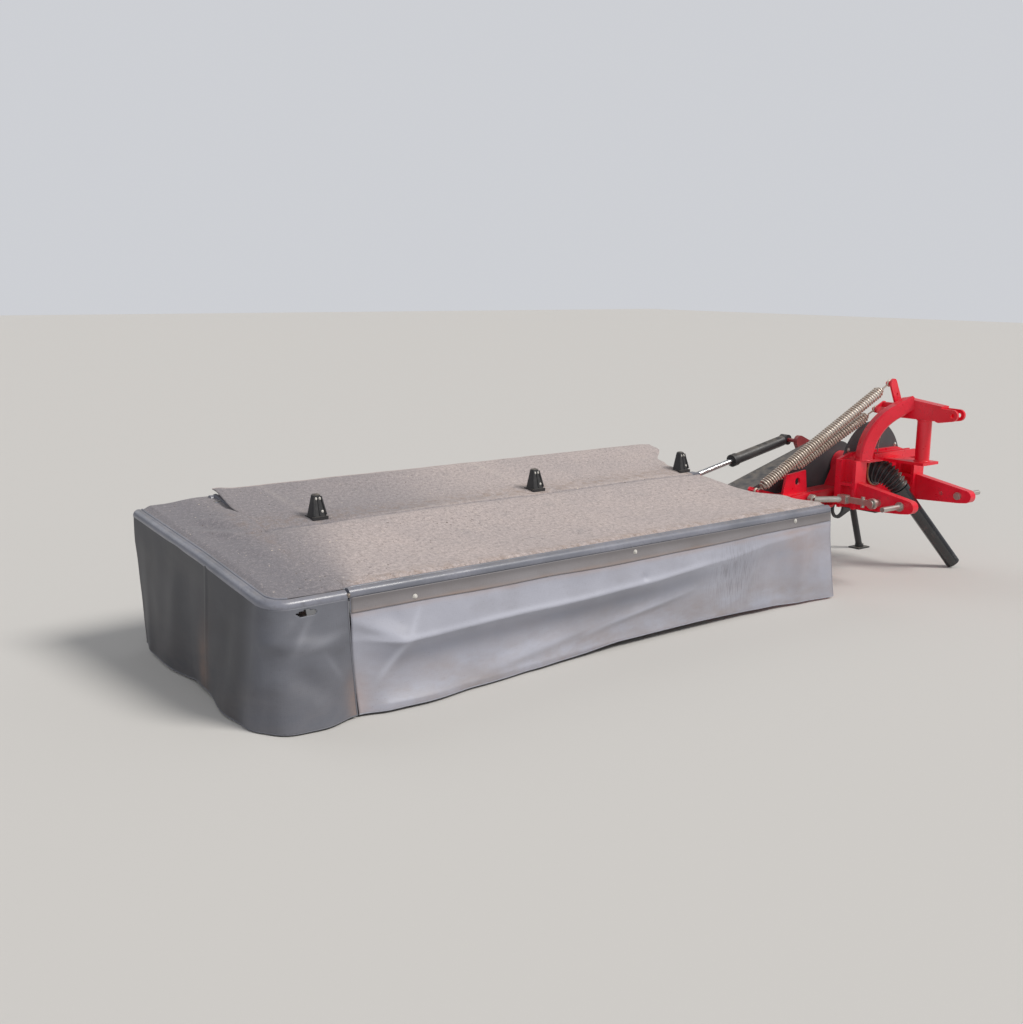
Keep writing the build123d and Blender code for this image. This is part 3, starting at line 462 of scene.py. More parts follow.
# %% Finishes on the CAD nodes
BY_SLOT = {
    "red_paint": red_paint,
    "dark_red_paint": dark_red_paint,
    "black_paint": black_paint,
    "grey_guard": grey_guard,
    "zinc": zinc,
    "chrome": chrome,
    "cast_housing": cast_housing,
    "worn_steel": worn_steel,
    "cover_frame": slate_frame,
    "top_cloth": top_cloth,
    "curtain_cloth": curtain_cloth,
    "black_plastic": black_plastic,
    "gloss_black_plastic": gloss_black,
    "bellows_rubber": rubber,
    "spring_steel": spring_steel,
}
SLOT_OF = {p["node"]: p["material_slot"] for p in frame["record"]["subparts"]}
for name, node in frame["nodes"].items():
    node.data.materials.clear()
    node.data.materials.append(BY_SLOT[SLOT_OF[name]])
print("dressed", len(SLOT_OF))

# %% [markdown]
# ## The cover
# The cloth could be simulated, but this is stiff coated cloth stretched over a frame: it shows
# long shallow sags between the arms, one crease and a few dents, all of which the photograph
# places. So each sheet is a fine grid whose points are set out by a rule: a height for each place.

# %% Helpers for cloth
def cloth(name, columns, rows, place, size, thickness, material, marks=None, hole=None):
    """A grid set out by place(s, t), with its UV map in metres.

    marks gives a point's shares of pale, brown, dark and rubbed, and hole says what is torn out.
    """
    bpy.ops.object.select_all(action="DESELECT")
    bpy.ops.mesh.primitive_grid_add(x_subdivisions=columns, y_subdivisions=rows, size=1)
    piece = bpy.context.object
    piece.name = piece.data.name = name
    mesh = piece.data
    for loop, corner_uv in zip(mesh.loops, mesh.uv_layers[0].data):
        spot = mesh.vertices[loop.vertex_index].co
        corner_uv.uv = ((spot.x + 0.5) * size[0], (spot.y + 0.5) * size[1])
    for vertex in mesh.vertices:
        vertex.co = place(vertex.co.x + 0.5, vertex.co.y + 0.5)
    shares = mesh.color_attributes.new("marks", "FLOAT_COLOR", "POINT")
    for vertex, share in zip(mesh.vertices, shares.data):
        share.color = marks(*(vertex.co - corner)) if marks else (0, 0, 0, 0)
    if hole:
        form = bmesh.new()
        form.from_mesh(mesh)
        torn = [f for f in form.faces if hole(*(f.calc_center_median() - corner))]
        bmesh.ops.delete(form, geom=torn, context="FACES")
        form.to_mesh(mesh)
        form.free()
    solid = piece.modifiers.new("thickness", "SOLIDIFY")
    solid.thickness = thickness
    solid.offset = 0
    bpy.ops.object.modifier_apply(modifier=solid.name)
    bpy.ops.object.shade_smooth()
    mesh.materials.append(material)
    return piece


def blend_value(points, value):
    """Read a value off a row of (place, height) points, smoothly between them."""
    if value <= points[0][0]:
        return points[0][1]
    for (a, low), (b, high) in zip(points, points[1:]):
        if value <= b:
            step = (value - a) / (b - a)
            return low + (high - low) * step * step * (3 - 2 * step)
    return points[-1][1]


def straight_value(points, value):
    """Read a value off a row of (place, height) points, in straight runs."""
    if value <= points[0][0]:
        return points[0][1]
    for (a, low), (b, high) in zip(points, points[1:]):
        if value <= b:
            return low + (high - low) * (value - a) / (b - a)
    return points[-1][1]


def soft_noise(x, y, scale, seed=0.0):
    """Smooth waves from -1 to 1, the same on each run."""
    return noise.noise(Vector((x * scale, y * scale, seed)))


def hill(value, centre, width):
    """1 at the centre, falling smoothly to nothing two widths away."""
    return math.exp(-((value - centre) / width) ** 2)


def crease(x, z, start, end, width, depth):
    """A soft crease along a line from start to end, each a pair of places."""
    along = Vector((end[0] - start[0], end[1] - start[1]))
    offset = Vector((x - start[0], z - start[1]))
    step = min(max(offset.dot(along) / along.length_squared, 0), 1)
    away = (offset - along * step).length
    return depth * math.exp(-(away / width) ** 2) * math.sin(math.pi * (0.08 + 0.84 * step))


# %% [markdown]
# The main top cloth runs from the front rail over the crease, where the front cover hinges, to
# the rear rail. Its inner edge curves in around the headstock. It sags between the arms and
# lies in a shallow valley along the crease, deeper at the hinge caps. Its outer edge dips into the
# end cover's cloth, and stands a little proud of it at the rear corner. One piece spans
# the hinge.

# %% Main top cloth
SPLIT_X = -2.938
ARMS = (-2.650, -1.411, -0.362)
CREASE_Y = 0.680
REAR_Y = 1.254
FRONT_START = 0.042
TOP_SAG = 0.017
WIDEST_SPAN = 1.24
FRONT_FIELD = (FRONT_START, CREASE_Y - 0.05)
REAR_FIELD = (0.72, 1.215)
INNER_EDGE = (
    (0.024, -0.004), (0.168, -0.133), (0.335, -0.268), (0.454, -0.287), (0.573, -0.300), (0.646, -0.318),
    (0.790, -0.368), (0.834, -0.374), (0.912, -0.345), (1.190, -0.122), (1.254, -0.105),
)
TOP_PROFILE = (
    (0.042, 0.489), (0.060, 0.503), (0.620, 0.599), (0.655, 0.6035), (0.676, 0.6005), (0.684, 0.5995),
    (0.692, 0.607), (0.705, 0.610), (0.760, 0.6165), (1.200, 0.6795), (1.254, 0.687),
)


def between_arms(x):
    """0 over an arm, 1 halfway between two, and the span between them."""
    stops = (SPLIT_X, *ARMS, 0.0)
    for low, high in zip(stops, stops[1:]):
        if low <= x <= high:
            step = (x - low) / (high - low)
            return 1 - (2 * step - 1) ** 2, high - low
    return 0.0, 1.0


def top_height(x, y):
    height = straight_value(TOP_PROFILE, y)
    sag, span = between_arms(x)
    start, end = FRONT_FIELD if y < CREASE_Y else REAR_FIELD
    free = math.sin(math.pi * min(max((y - start) / (end - start), 0), 1))
    height -= TOP_SAG * min(span / WIDEST_SPAN, 1) ** 2 * sag * free
    for arm in ARMS:
        near = hill(x, arm, 0.10) * hill(y, CREASE_Y + 0.02, 0.035)
        height -= 0.006 * near
        height += 0.0035 * hill(x, arm, 0.018) * free
        height += crease(x, y, (arm + 0.03, 0.66), (arm + 0.28, 0.52), 0.022, 0.0035)
        height += crease(x, y, (arm - 0.03, 0.66), (arm - 0.22, 0.50), 0.022, 0.0030)
        height -= crease(x, y, (arm + 0.04, 0.78), (arm + 0.24, 0.95), 0.025, 0.0030)
    wrinkle = soft_noise(x * 0.7, y * 2.2, 3.1) * 0.0040 + soft_noise(x, y, 9.0, 4.0) * 0.0016
    return height + wrinkle * min(1.0, (y - FRONT_START) / 0.1)


def top_marks(x, y, z):
    behind = blend_value(((CREASE_Y, 0.0), (CREASE_Y + 0.02, 1.0)), y)
    arm_line = (0.4 + 0.6 * behind) * max(hill(x, arm - 0.02, 0.016) for arm in ARMS)
    between = 1 - max(hill(x, arm + 0.04, 0.16) for arm in ARMS)
    broken = 0.55 + 0.9 * soft_noise(x, 0, 2.6, 11.0)
    crease_dust = hill(y, CREASE_Y + 0.016, 0.007) * between * min(max(broken, 0), 1)
    litter = behind * hill(y, CREASE_Y + 0.07, 0.09)
    pale = 0.4 * arm_line + 0.6 * crease_dust
    brown = 0.8 * litter + 0.6 * hill(y, 0.06, 0.035)
    brown += 0.7 * hill(x, SPLIT_X - 0.02, 0.03) * hill(y, 0.80, 0.25)
    front = blend_value(((-2.95, 0.75), (-2.88 + 0.55 * y, 0.0)), x)
    rear = blend_value(((-2.95, 0.75), (-2.30, 0.55), (-1.60, 0.0)), x)
    # The dark share grows towards the outer end, and its narrow band on the crease is painted shade in the
    # crease's valley.
    dark = front + (rear - front) * behind + 0.6 * hill(y, CREASE_Y + 0.003, 0.007)
    return min(pale, 1), min(brown, 1), min(dark, 1), 0


CLOTH = 0.0028
OUTER_EDGE = (
    (0.08, -2.938), (0.20, -2.968), (0.58, -2.968), (0.67, -2.936), (1.00, -2.934), (1.254, -2.905),
)


def top_place(s, t):
    y = FRONT_START + (REAR_Y - FRONT_START) * t
    outer = blend_value(OUTER_EDGE, y)
    inner = blend_value(INNER_EDGE, y)
    x = outer + (inner - outer) * s
    height = top_height(max(x, SPLIT_X), y)
    flap = blend_value(((0.98, 0.0), (1.10, 1.0)), y)
    height += 0.008 * flap * hill(x, outer + 0.02, 0.05)
    height -= 0.0043 * (1 - flap) * hill(x, outer, 0.024)
    lift = hill(x, inner, 0.05)
    height += 0.006 * lift * math.sin(9 * y)
    return at(x, y, height)


top = cloth("cover_top_cloth", 215, 190, top_place, (2.90, 1.25), CLOTH, top_cloth, top_marks)
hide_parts("front_top_sheet", "rear_top_sheet")
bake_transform(top)
print("top cloth", len(top.data.vertices), "points")

# %% [markdown]
# The end cover has its own cloth inside the bent tube. Its outer edge is sewn to the tube just
# below the top, round the front corner, so the tube stands proud as a rim. Its middle is raised
# clear of the frame's hinge bars. Its inner edge climbs to the edge of the main cloth, and passes
# under it at the rear corner.

# %% End cover's top cloth
END_X = -3.256
RIM = 0.017
CORNER = 0.080
END_PROFILE = ((0.024, 0.480), (0.600, 0.560), (1.254, 0.632))
END_FOLDS = (
    ((-2.99, 0.62), (-3.18, 0.84), 0.028, 0.014),
    ((-2.99, 0.86), (-3.14, 0.98), 0.022, 0.010),
    ((-2.99, 0.74), (-3.16, 0.92), 0.030, -0.010),
    ((-2.99, 0.40), (-3.12, 0.56), 0.035, 0.008),
)


def end_outer_x(y):
    """Where the cloth meets the tube, which turns the front corner in an arc."""
    inner_radius = CORNER - RIM
    from_corner = (0.024 + RIM + inner_radius) - y
    if from_corner <= 0:
        return END_X + RIM
    from_corner = min(from_corner, inner_radius)
    return END_X + RIM + inner_radius - math.sqrt(inner_radius ** 2 - from_corner ** 2)


def end_place(s, t):
    y = 0.024 + RIM + (1.252 - 0.024 - RIM) * t
    outer = end_outer_x(y)
    inner = blend_value(((0.70, -2.934), (0.76, -2.918), (1.254, -2.893)), y)
    x = outer + (inner - outer) * s
    raised = blend_value(((0.0, 0.0), (0.12, 1.0)), s) * blend_value(((0.0, 0.0), (0.12, 1.0)), t)
    low = straight_value(END_PROFILE, y) + 0.004 + 0.013 * raised
    tuck = blend_value(((0.92, 0.0035), (1.06, 0.018), (1.254, 0.024)), y)
    high = top_height(SPLIT_X, max(y, FRONT_START)) - tuck
    climb = blend_value(((0.25, 0.0), (0.80, 1.0)), s)
    height = low + (high - low) * climb
    free = math.sin(math.pi * min(1.0, s / 0.82))
    height -= 0.003 * free * math.sin(math.pi * t)
    folds = 0.0
    for fold in END_FOLDS:
        folds += crease(x, y, *fold)
    height += free * (folds + soft_noise(x * 2, y * 1.5, 2.3, 7.0) * 0.006)
    return at(x, y, height)


def end_top_marks(x, y, z):
    stain = hill(x, SPLIT_X - 0.04, 0.03) * hill(y, 0.72, 0.3)
    ridge = crease(x, y, *END_FOLDS[0][:2], 0.010, 0.3)
    ridge += crease(x, y, *END_FOLDS[1][:2], 0.008, 0.3)
    dark = blend_value(((-3.10, 1.0), (SPLIT_X, 0.75)), x)
    return ridge, min(1, 0.8 * stain), dark, 0


end_top = cloth("end_top_cloth", 66, 130, end_place, (0.32, 1.24), CLOTH, top_cloth, end_top_marks)
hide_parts("end_top_sheet")
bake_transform(end_top)
print("end top cloth", len(end_top.data.vertices), "points")

# %% [markdown]
# The front curtain hangs from the rail to the ground. Its weight and years of use have set a long
# ridge half way down, with a star of creases at its outer end, and the hem flares outwards there.
# The rule for each point is how far it stands out from the rail's plane.

# %% Front curtain
CURTAIN_WIDTH = 2.933
CURTAIN_TOP = 0.458
HEM = (
    (-2.933, 0.012), (-2.70, 0.014), (-2.2, 0.012), (-1.85, 0.016), (-1.5, 0.032), (-1.0, 0.034),
    (-0.55, 0.026), (-0.25, 0.016), (0.0, 0.012),
)
FLARE = (
    (-2.933, 0.060), (-2.80, 0.092), (-2.65, 0.098), (-2.35, 0.066), (-2.05, 0.034), (-1.75, 0.014),
    (-1.5, 0.002), (-0.8, 0.0), (-0.45, 0.012), (-0.2, 0.034), (0.0, 0.052),
)
RIDGE = (
    (-2.933, 0.285), (-2.70, 0.262), (-2.0, 0.275), (-1.4, 0.292), (-0.9, 0.315), (-0.36, 0.36), (0.0, 0.39),
)
RIDGE_OUT = (
    (-2.933, 0.010), (-2.70, 0.056), (-2.2, 0.052), (-1.6, 0.056), (-1.1, 0.040), (-0.8, 0.020),
    (-0.45, 0.014), (0.0, 0.004),
)
CURTAIN_FOLDS = (
    ((-2.955, 0.385), (-2.69, 0.268), 0.030, 0.010),
    ((-2.86, 0.11), (-2.69, 0.262), 0.045, 0.014),
    ((-2.80, 0.40), (-2.70, 0.31), 0.04, -0.008),
    ((-1.75, 0.10), (-1.05, 0.20), 0.022, 0.010),
    ((-2.35, 0.06), (-1.70, 0.13), 0.030, 0.012),
    ((-1.42, 0.30), (-1.38, 0.33), 0.020, -0.010),
    ((-0.62, 0.04), (-0.50, 0.36), 0.035, -0.010),
    ((-0.28, 0.06), (-0.20, 0.40), 0.05, 0.014),
)


def curtain_out(x, z):
    """How far the front curtain stands out from the rail's plane."""
    ridge_z = blend_value(RIDGE, x)
    ridge_out = blend_value(RIDGE_OUT, x)
    flare = blend_value(FLARE, x)
    if z > ridge_z:
        step = max(0.0, (CURTAIN_TOP - z) / (CURTAIN_TOP - ridge_z))
        out = ridge_out * (0.35 * step + 0.65 * step ** 1.8)
    else:
        step = (ridge_z - z) / ridge_z
        out = ridge_out + (flare - ridge_out) * step ** 1.15
        out -= 0.62 * ridge_out * math.sin(math.pi * min(1, step * 1.15)) ** 0.8
    for fold in CURTAIN_FOLDS:
        out += crease(x, z, *fold)
    waves = soft_noise(x, z * 1.4, 3.2, 1.0) * 0.007 + soft_noise(x, z, 8.0, 2.0) * 0.0022
    out += waves * min(1, (CURTAIN_TOP - z) / 0.08)
    return out


def curtain_place(s, t):
    x = -CURTAIN_WIDTH + CURTAIN_WIDTH * s
    hem = blend_value(HEM, x)
    z = hem + (CURTAIN_TOP - hem) * t
    return at(x, 0.003 - curtain_out(x, z), z)


# The pale share is painted highlight along the top of the ridge and on the creases, and the dark share is
# painted shade in the band below the ridge. The brown share is dirt, and rubbed is the scratched patch.
def curtain_marks(x, y, z):
    ridge_z = blend_value(RIDGE, x)
    reach = min(1, blend_value(RIDGE_OUT, x) / 0.05)
    pale = reach * hill(z, ridge_z + 0.012, 0.012) + crease(x, z, (-1.75, 0.10), (-1.05, 0.20), 0.010, 0.8)
    pale += crease(x, z, (-2.35, 0.06), (-1.70, 0.13), 0.012, 0.5)
    for end in ((-2.93, 0.375), (-2.93, 0.315), (-2.85, 0.12), (-2.62, 0.385)):
        pale += crease(x, z, end, (-2.70, 0.265), 0.014, 0.8)
    dark = reach * hill(z, ridge_z - 0.055, 0.045)
    brown = hill(z, 0.392, 0.012) * 0.5 + hill(x, -2.93, 0.05) * hill(z, 0.05, 0.09)
    brown += 0.6 * hill(x, -0.30, 0.25) * hill(z, 0.30, 0.12)
    rubbed = hill(x, -0.74, 0.16) * hill(z, 0.23, 0.13)
    return min(pale, 1), min(brown, 1), min(dark, 1), min(1.4 * rubbed, 1)


front_curtain = cloth(
    "front_curtain_cloth", 280, 84, curtain_place, (CURTAIN_WIDTH, 0.445), CLOTH, curtain_cloth, curtain_marks
)
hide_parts("front_curtain")
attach(front_curtain, "front_cover")
print("front curtain", len(front_curtain.data.vertices), "points")

# %% [markdown]
# A strip is sewn over the curtain's top, darker and browner than the cloth below. It follows the
# curtain one to three millimetres off.

# %% Strip below the rail
STRIP_LOW = ((-2.933, 0.402), (-1.4, 0.399), (0.0, 0.416))


def strip_place(s, t):
    x = -2.931 + 2.929 * s
    low = blend_value(STRIP_LOW, x) + 0.0015 * math.sin(9 * x)
    z = low + (CURTAIN_TOP + 0.002 - low) * t
    return at(x, -0.0005 - curtain_out(x, z) - 0.0015 * (1 - t), z)


# The dark share along the top is the rail's shadow, painted; the brown share is a line of dirt where the
# strip ends.
def strip_marks(x, y, z):
    return 0, 0.5 * hill(z, 0.405, 0.008), 0.8 * hill(z, 0.452, 0.016), 0


strip = cloth("curtain_strip", 240, 14, strip_place, (2.929, 0.056), 0.002, strip_cloth, strip_marks)
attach(strip, "front_cover")
print("strip", len(strip.data.vertices), "points")

# %% [markdown]
# The end curtain is one cloth that starts at the split, turns the rounded corner and runs back to
# the rear. A path gives each point its place along the rail, and the cloth stands out from it
# along the path's own normal. Its top follows the sloping end rail.

# %% End curtain
OUTER_X = -3.280
CORNER_OUT = 0.104
END_START = -2.943
PATH_FRONT = END_START - (OUTER_X + CORNER_OUT)
PATH_TURN = CORNER_OUT * math.pi / 2
PATH_END = 1.254 - CORNER_OUT
PATH_LENGTH = PATH_FRONT + PATH_TURN + PATH_END
END_TOP = ((0.0, 0.456), (0.024, 0.458), (0.600, 0.544), (1.254, 0.616))
END_FLARE = (
    (0.0, 0.060), (0.16, 0.098), (0.26, 0.088), (0.33, 0.060), (0.42, 0.056), (0.55, 0.062),
    (0.85, 0.010), (1.0, -0.010), (1.2, 0.010), (1.42, -0.006), (PATH_LENGTH, -0.034),
)
END_HEM = (
    (0.0, 0.012), (0.4, 0.006), (0.6, 0.012), (0.9, 0.022), (1.05, 0.012), (1.3, 0.016), (PATH_LENGTH, 0.030),
)
END_CURTAIN_FOLDS = (
    ((0.05, 0.30), (0.34, 0.33), 0.03, 0.012),
    ((0.22, 0.40), (0.36, 0.30), 0.035, 0.012),
    ((0.10, 0.10), (0.30, 0.26), 0.05, -0.012),
    ((0.82, 0.03), (0.81, 0.56), 0.010, 0.0045),
    ((0.60, 0.04), (0.62, 0.40), 0.07, -0.012),
    ((1.15, 0.05), (1.10, 0.50), 0.08, 0.010),
)


def end_path(run):
    """The point on the rail's outline and the way out from it, a run after the split."""
    if run <= PATH_FRONT:
        return Vector((END_START - run, 0.0, 0)), Vector((0, -1, 0))
    run -= PATH_FRONT
    centre = Vector((OUTER_X + CORNER_OUT, CORNER_OUT, 0))
    if run <= PATH_TURN:
        angle = run / CORNER_OUT
        out = Vector((-math.sin(angle), -math.cos(angle), 0))
        return centre + out * CORNER_OUT, out
    run -= PATH_TURN
    return Vector((OUTER_X, CORNER_OUT + run, 0)), Vector((-1, 0, 0))


def end_curtain_place(s, t):
    run = PATH_LENGTH * s
    spot, out = end_path(run)
    ceiling = straight_value(END_TOP, spot.y)
    hem = blend_value(END_HEM, run)
    z = hem + (ceiling - hem) * t
    drop = max(0.0, 1 - t)
    off = blend_value(END_FLARE, run) * drop ** 1.3
    for fold in END_CURTAIN_FOLDS:
        off += crease(run, z, *fold)
    waves = soft_noise(run, z, 3.0, 5.0) * 0.008 + soft_noise(run, z, 8.0, 6.0) * 0.0025
    off += waves * min(1, drop * 5)
    point = spot + out * (off - 0.003)
    return at(point.x, point.y, z)


# The pale share is painted highlight on the creases round the tear, and the dark share is painted shade on
# the end face past the corner. The brown share is stains low down.
def end_curtain_marks(x, y, z):
    away = blend_value(((0.03, 0.0), (0.22, 1.0)), y)
    pale_tone_and_highlight = crease(x, z, (-2.96, 0.34), (-3.19, 0.29), 0.018, 1.0)
    pale_tone_and_highlight += crease(x, z, (-3.19, 0.29), (-3.10, 0.42), 0.016, 0.9)
    pale_tone_and_highlight += crease(x, z, (-3.06, 0.27), (-2.99, 0.16), 0.014, 0.6)
    foot = hill(x, -2.95, 0.035) * hill(z, 0.04, 0.10)
    stain = hill(y, 0.55, 0.05) * hill(z, 0.10, 0.16)
    return min(pale_tone_and_highlight, 1) * (1 - away), min(1, foot + 0.7 * stain), 0.9 * away, 0


def torn(x, y, z):
    """A small tear below the rail, where a clip has pulled out."""
    return y < 0.05 and ((x + 3.118) / 0.044) ** 2 + ((z - 0.432) / 0.012) ** 2 < 1


end_curtain = cloth(
    "end_curtain_cloth", 230, 90, end_curtain_place, (PATH_LENGTH, 0.5), CLOTH, end_cloth_painted_shade,
    end_curtain_marks, torn,
)
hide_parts("end_curtain")
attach(end_curtain, "end_cover")
print("end curtain", round(PATH_LENGTH, 3), "m round the corner")

# %% [markdown]
# The rear curtain hangs free behind the discs and guides the cut crop down. It is plain, with
# the slow waves of a hung cloth.

# %% Rear curtain
rear_low, rear_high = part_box("rear_curtain")


def rear_place(s, t):
    x = rear_low.x + (rear_high.x - rear_low.x) * s
    run = rear_high.x - x
    z = rear_low.z + 0.006 * math.sin(5 * run) + (rear_high.z - rear_low.z - 0.004) * t
    wave = 0.010 * math.sin(4.1 * run) + soft_noise(run, z, 3.0, 8.0) * 0.010
    return Vector((x, rear_high.y - 0.003 - 0.012 + (wave + 0.006 * (1 - t)) * (1 - t), z))


rear_curtain = cloth("rear_curtain_cloth", 200, 44, rear_place, (2.82, 0.6), CLOTH, curtain_cloth)
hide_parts("rear_curtain")
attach(rear_curtain, "cutter_unit")
print("rear curtain", len(rear_curtain.data.vertices), "points")

# %% [markdown]
# Hems: a cloth's edge is turned over and sewn, which shows as a thin rolled line. A curve along
# the edge with a small round section makes each one.

# %% Hems and piping
def round_bar(name, points, radius, resolution, caps=True, radii=None):
    """A mesh of round section along points, with a radius of its own at each where radii says so."""
    curve = bpy.data.curves.new(name, "CURVE")
    curve.dimensions = "3D"
    curve.bevel_depth = radius
    curve.bevel_resolution = resolution
    line = curve.splines.new("POLY")
    line.points.add(len(points) - 1)
    for number, (spot, point) in enumerate(zip(line.points, points)):
        spot.co = (*point, 1)
        spot.radius = radii[number] if radii else 1
    curve.use_fill_caps = caps
    piece = bpy.data.objects.new(name, curve)
    bpy.context.scene.collection.objects.link(piece)
    bpy.ops.object.select_all(action="DESELECT")
    piece.select_set(True)
    bpy.context.view_layer.objects.active = piece
    bpy.ops.object.convert(target="MESH")
    return bpy.context.object


def dress(piece, material):
    """Smooth the selected piece and give it its one material."""
    bpy.ops.object.shade_smooth()
    piece.data.materials.clear()
    piece.data.materials.append(material)


def rolled_edge(name, points, radius, material, body, slot_name):
    piece = round_bar(name, points, radius, 2)
    dress(piece, material)
    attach(piece, body)
    return piece


def along(place, count, fixed, first=True):
    """Points along one edge of a cloth: s runs when first, else t."""
    steps = [i / count for i in range(count + 1)]
    return [place(v, fixed) if first else place(fixed, v) for v in steps]


split_line = along(end_curtain_place, 40, 0.0, False)
HEMS = (
    ("front_hem", along(curtain_place, 160, 0.0), 0.003, curtain_cloth, "front_cover", "curtain_cloth"),
    ("end_hem", along(end_curtain_place, 120, 0.0), 0.003, end_cloth_painted_shade, "end_cover", "curtain_cloth"),
    ("rear_hem", along(rear_place, 120, 0.0), 0.003, curtain_cloth, "cutter_unit", "curtain_cloth"),
    ("split_piping", split_line, 0.0035, end_cloth_painted_shade, "end_cover", "curtain_cloth"),
    ("inner_hem", along(curtain_place, 40, 1.0, False), 0.003, curtain_cloth, "front_cover", "curtain_cloth"),
    ("rear_edge_hem", along(top_place, 140, 1.0), 0.0035, top_cloth, "cutter_unit", "top_cloth"),
    ("front_welt", along(top_place, 140, 0.0), 0.0055, slate_frame, "front_cover", "cover_frame"),
    ("end_welt", along(end_place, 120, 0.0, False), 0.0055, slate_frame, "end_cover", "cover_frame"),
)
for hem in HEMS:
    rolled_edge(*hem)
print("hems and piping", [hem[0] for hem in HEMS])

# %% [markdown]
# ## Springs
# The relief springs are close-wound tension springs, a wire as thick as a finger round and
# round. The CAD has them as ribbed bars. A helix of points with a round section gives the real
# coil, and its ends turn in to the hooks. Each spring runs between the headstock and the
# carrier.

# %% Relief springs
COIL_RADIUS = 0.033
WIRE = 0.0052
COIL_PITCH = 0.0148
EYE_RADIUS = 0.0152
EYE_WIRE = 0.0058


def coil_spring(name, node, top_pin, foot_pin, top_hook, foot_hook):
    """A coil between two pins, with a straight hook and an eye at each end."""
    axis = (foot_pin - top_pin).normalized()
    start = top_pin + axis * top_hook
    end = foot_pin - axis * foot_hook
    length = (end - start).length
    turns = int(length / COIL_PITCH)
    side = axis.cross(Vector((0, 1, 0))).normalized()
    third = axis.cross(side)
    steps = 22
    points = [top_pin + axis * 0.013, top_pin + axis * (top_hook * 0.8), start + side * 0.02]
    for i in range(turns * steps + 1):
        angle = 2 * math.pi * i / steps
        taper = min(1.0, i / (1.5 * steps), (turns * steps - i) / (1.5 * steps))
        radius = (COIL_RADIUS - WIRE) * (0.45 + 0.55 * taper)
        centre = start + axis * (length * i / (turns * steps))
        points.append(centre + (side * math.cos(angle) + third * math.sin(angle)) * radius)
    points += [end + side * 0.02, foot_pin - axis * (foot_hook * 0.8), foot_pin - axis * 0.013]
    piece = round_bar(name, points, WIRE, 1)
    rings = []
    for pin in (top_pin, foot_pin):
        bpy.ops.object.select_all(action="DESELECT")
        bpy.ops.mesh.primitive_torus_add(
            major_radius=EYE_RADIUS, minor_radius=EYE_WIRE, major_segments=32, minor_segments=10,
            location=pin, rotation=(math.pi / 2, 0, 0),
        )
        rings.append(bpy.context.object)
    bpy.ops.object.select_all(action="DESELECT")
    piece.select_set(True)
    bpy.context.view_layer.objects.active = piece
    for ring in rings:
        ring.select_set(True)
    bpy.ops.object.join()
    bpy.ops.object.transform_apply(location=True, rotation=True, scale=True)
    dress(piece, spring_steel)
    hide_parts(node)
    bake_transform(piece)
    print(name, turns, "turns", len(piece.data.polygons), "faces")
    return piece


front_pins = at(0.722, 0.188, 1.092), at(-0.020, 0.492, 0.500)
rear_pins = at(0.720, 0.267, 0.938), at(0.225, 0.520, 0.556)
coil_spring("front_coil", "relief_spring_front", *front_pins, 0.062, 0.040)
coil_spring("rear_coil", "relief_spring_rear", *rear_pins, 0.062, 0.100)

# %% [markdown]
# ## Bellows
# A rubber boot covers the drive joint. Its ribs shrink from the plate to the shaft guard and fan
# out round the bend. A curve carries the centre line, and the radius of each of its points rises
# and falls, which is exactly what ribs are.

# %% Bellows
JOINT = Vector((0.795, 0.200, 0.575))
SHAFT_END = Vector((1.168, -0.031, 0.0265))
shaft_way = (SHAFT_END - JOINT).normalized()
BOOT_RADIUS = 0.084
BOOT_NARROWING = 0.032
VALLEY = 0.014
RIB = 0.017


def boot_point(share):
    """The boot's centre line, from the plate round the joint to the shaft guard."""
    first = Vector((0.795, 0.300, 0.575))
    last = JOINT + shaft_way * 0.122
    return first * (1 - share) ** 2 + JOINT * (2 * share * (1 - share)) + last * share ** 2


def bellows(name, ribs, samples):
    count = ribs * samples
    points = []
    radii = []
    for i in range(count + 1):
        share = i / count
        phase = (i % samples) / samples
        rib = 0.5 - 0.5 * math.cos(2 * math.pi * phase)
        outer = BOOT_RADIUS - BOOT_NARROWING * share
        points.append(at(*boot_point(share)))
        radii.append(outer - VALLEY + RIB * rib ** 0.8)
    piece = round_bar(name, points, 1.0, 7, caps=False, radii=radii)
    solid = piece.modifiers.new("wall", "SOLIDIFY")
    solid.thickness = 0.0025
    solid.offset = -1
    bpy.ops.object.modifier_apply(modifier=solid.name)
    dress(piece, rubber)
    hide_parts("pto_bellows")
    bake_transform(piece)
    print(name, len(piece.data.polygons), "faces")
    return piece


bellows("drive_bellows", 9, 8)

# %% [markdown]
# ## Small parts
# Rivets with pale washers hold the curtain to each arm. One function makes them all, as a shallow
# dome on a washer: half a flattened sphere on a thin disc with a bevelled edge.

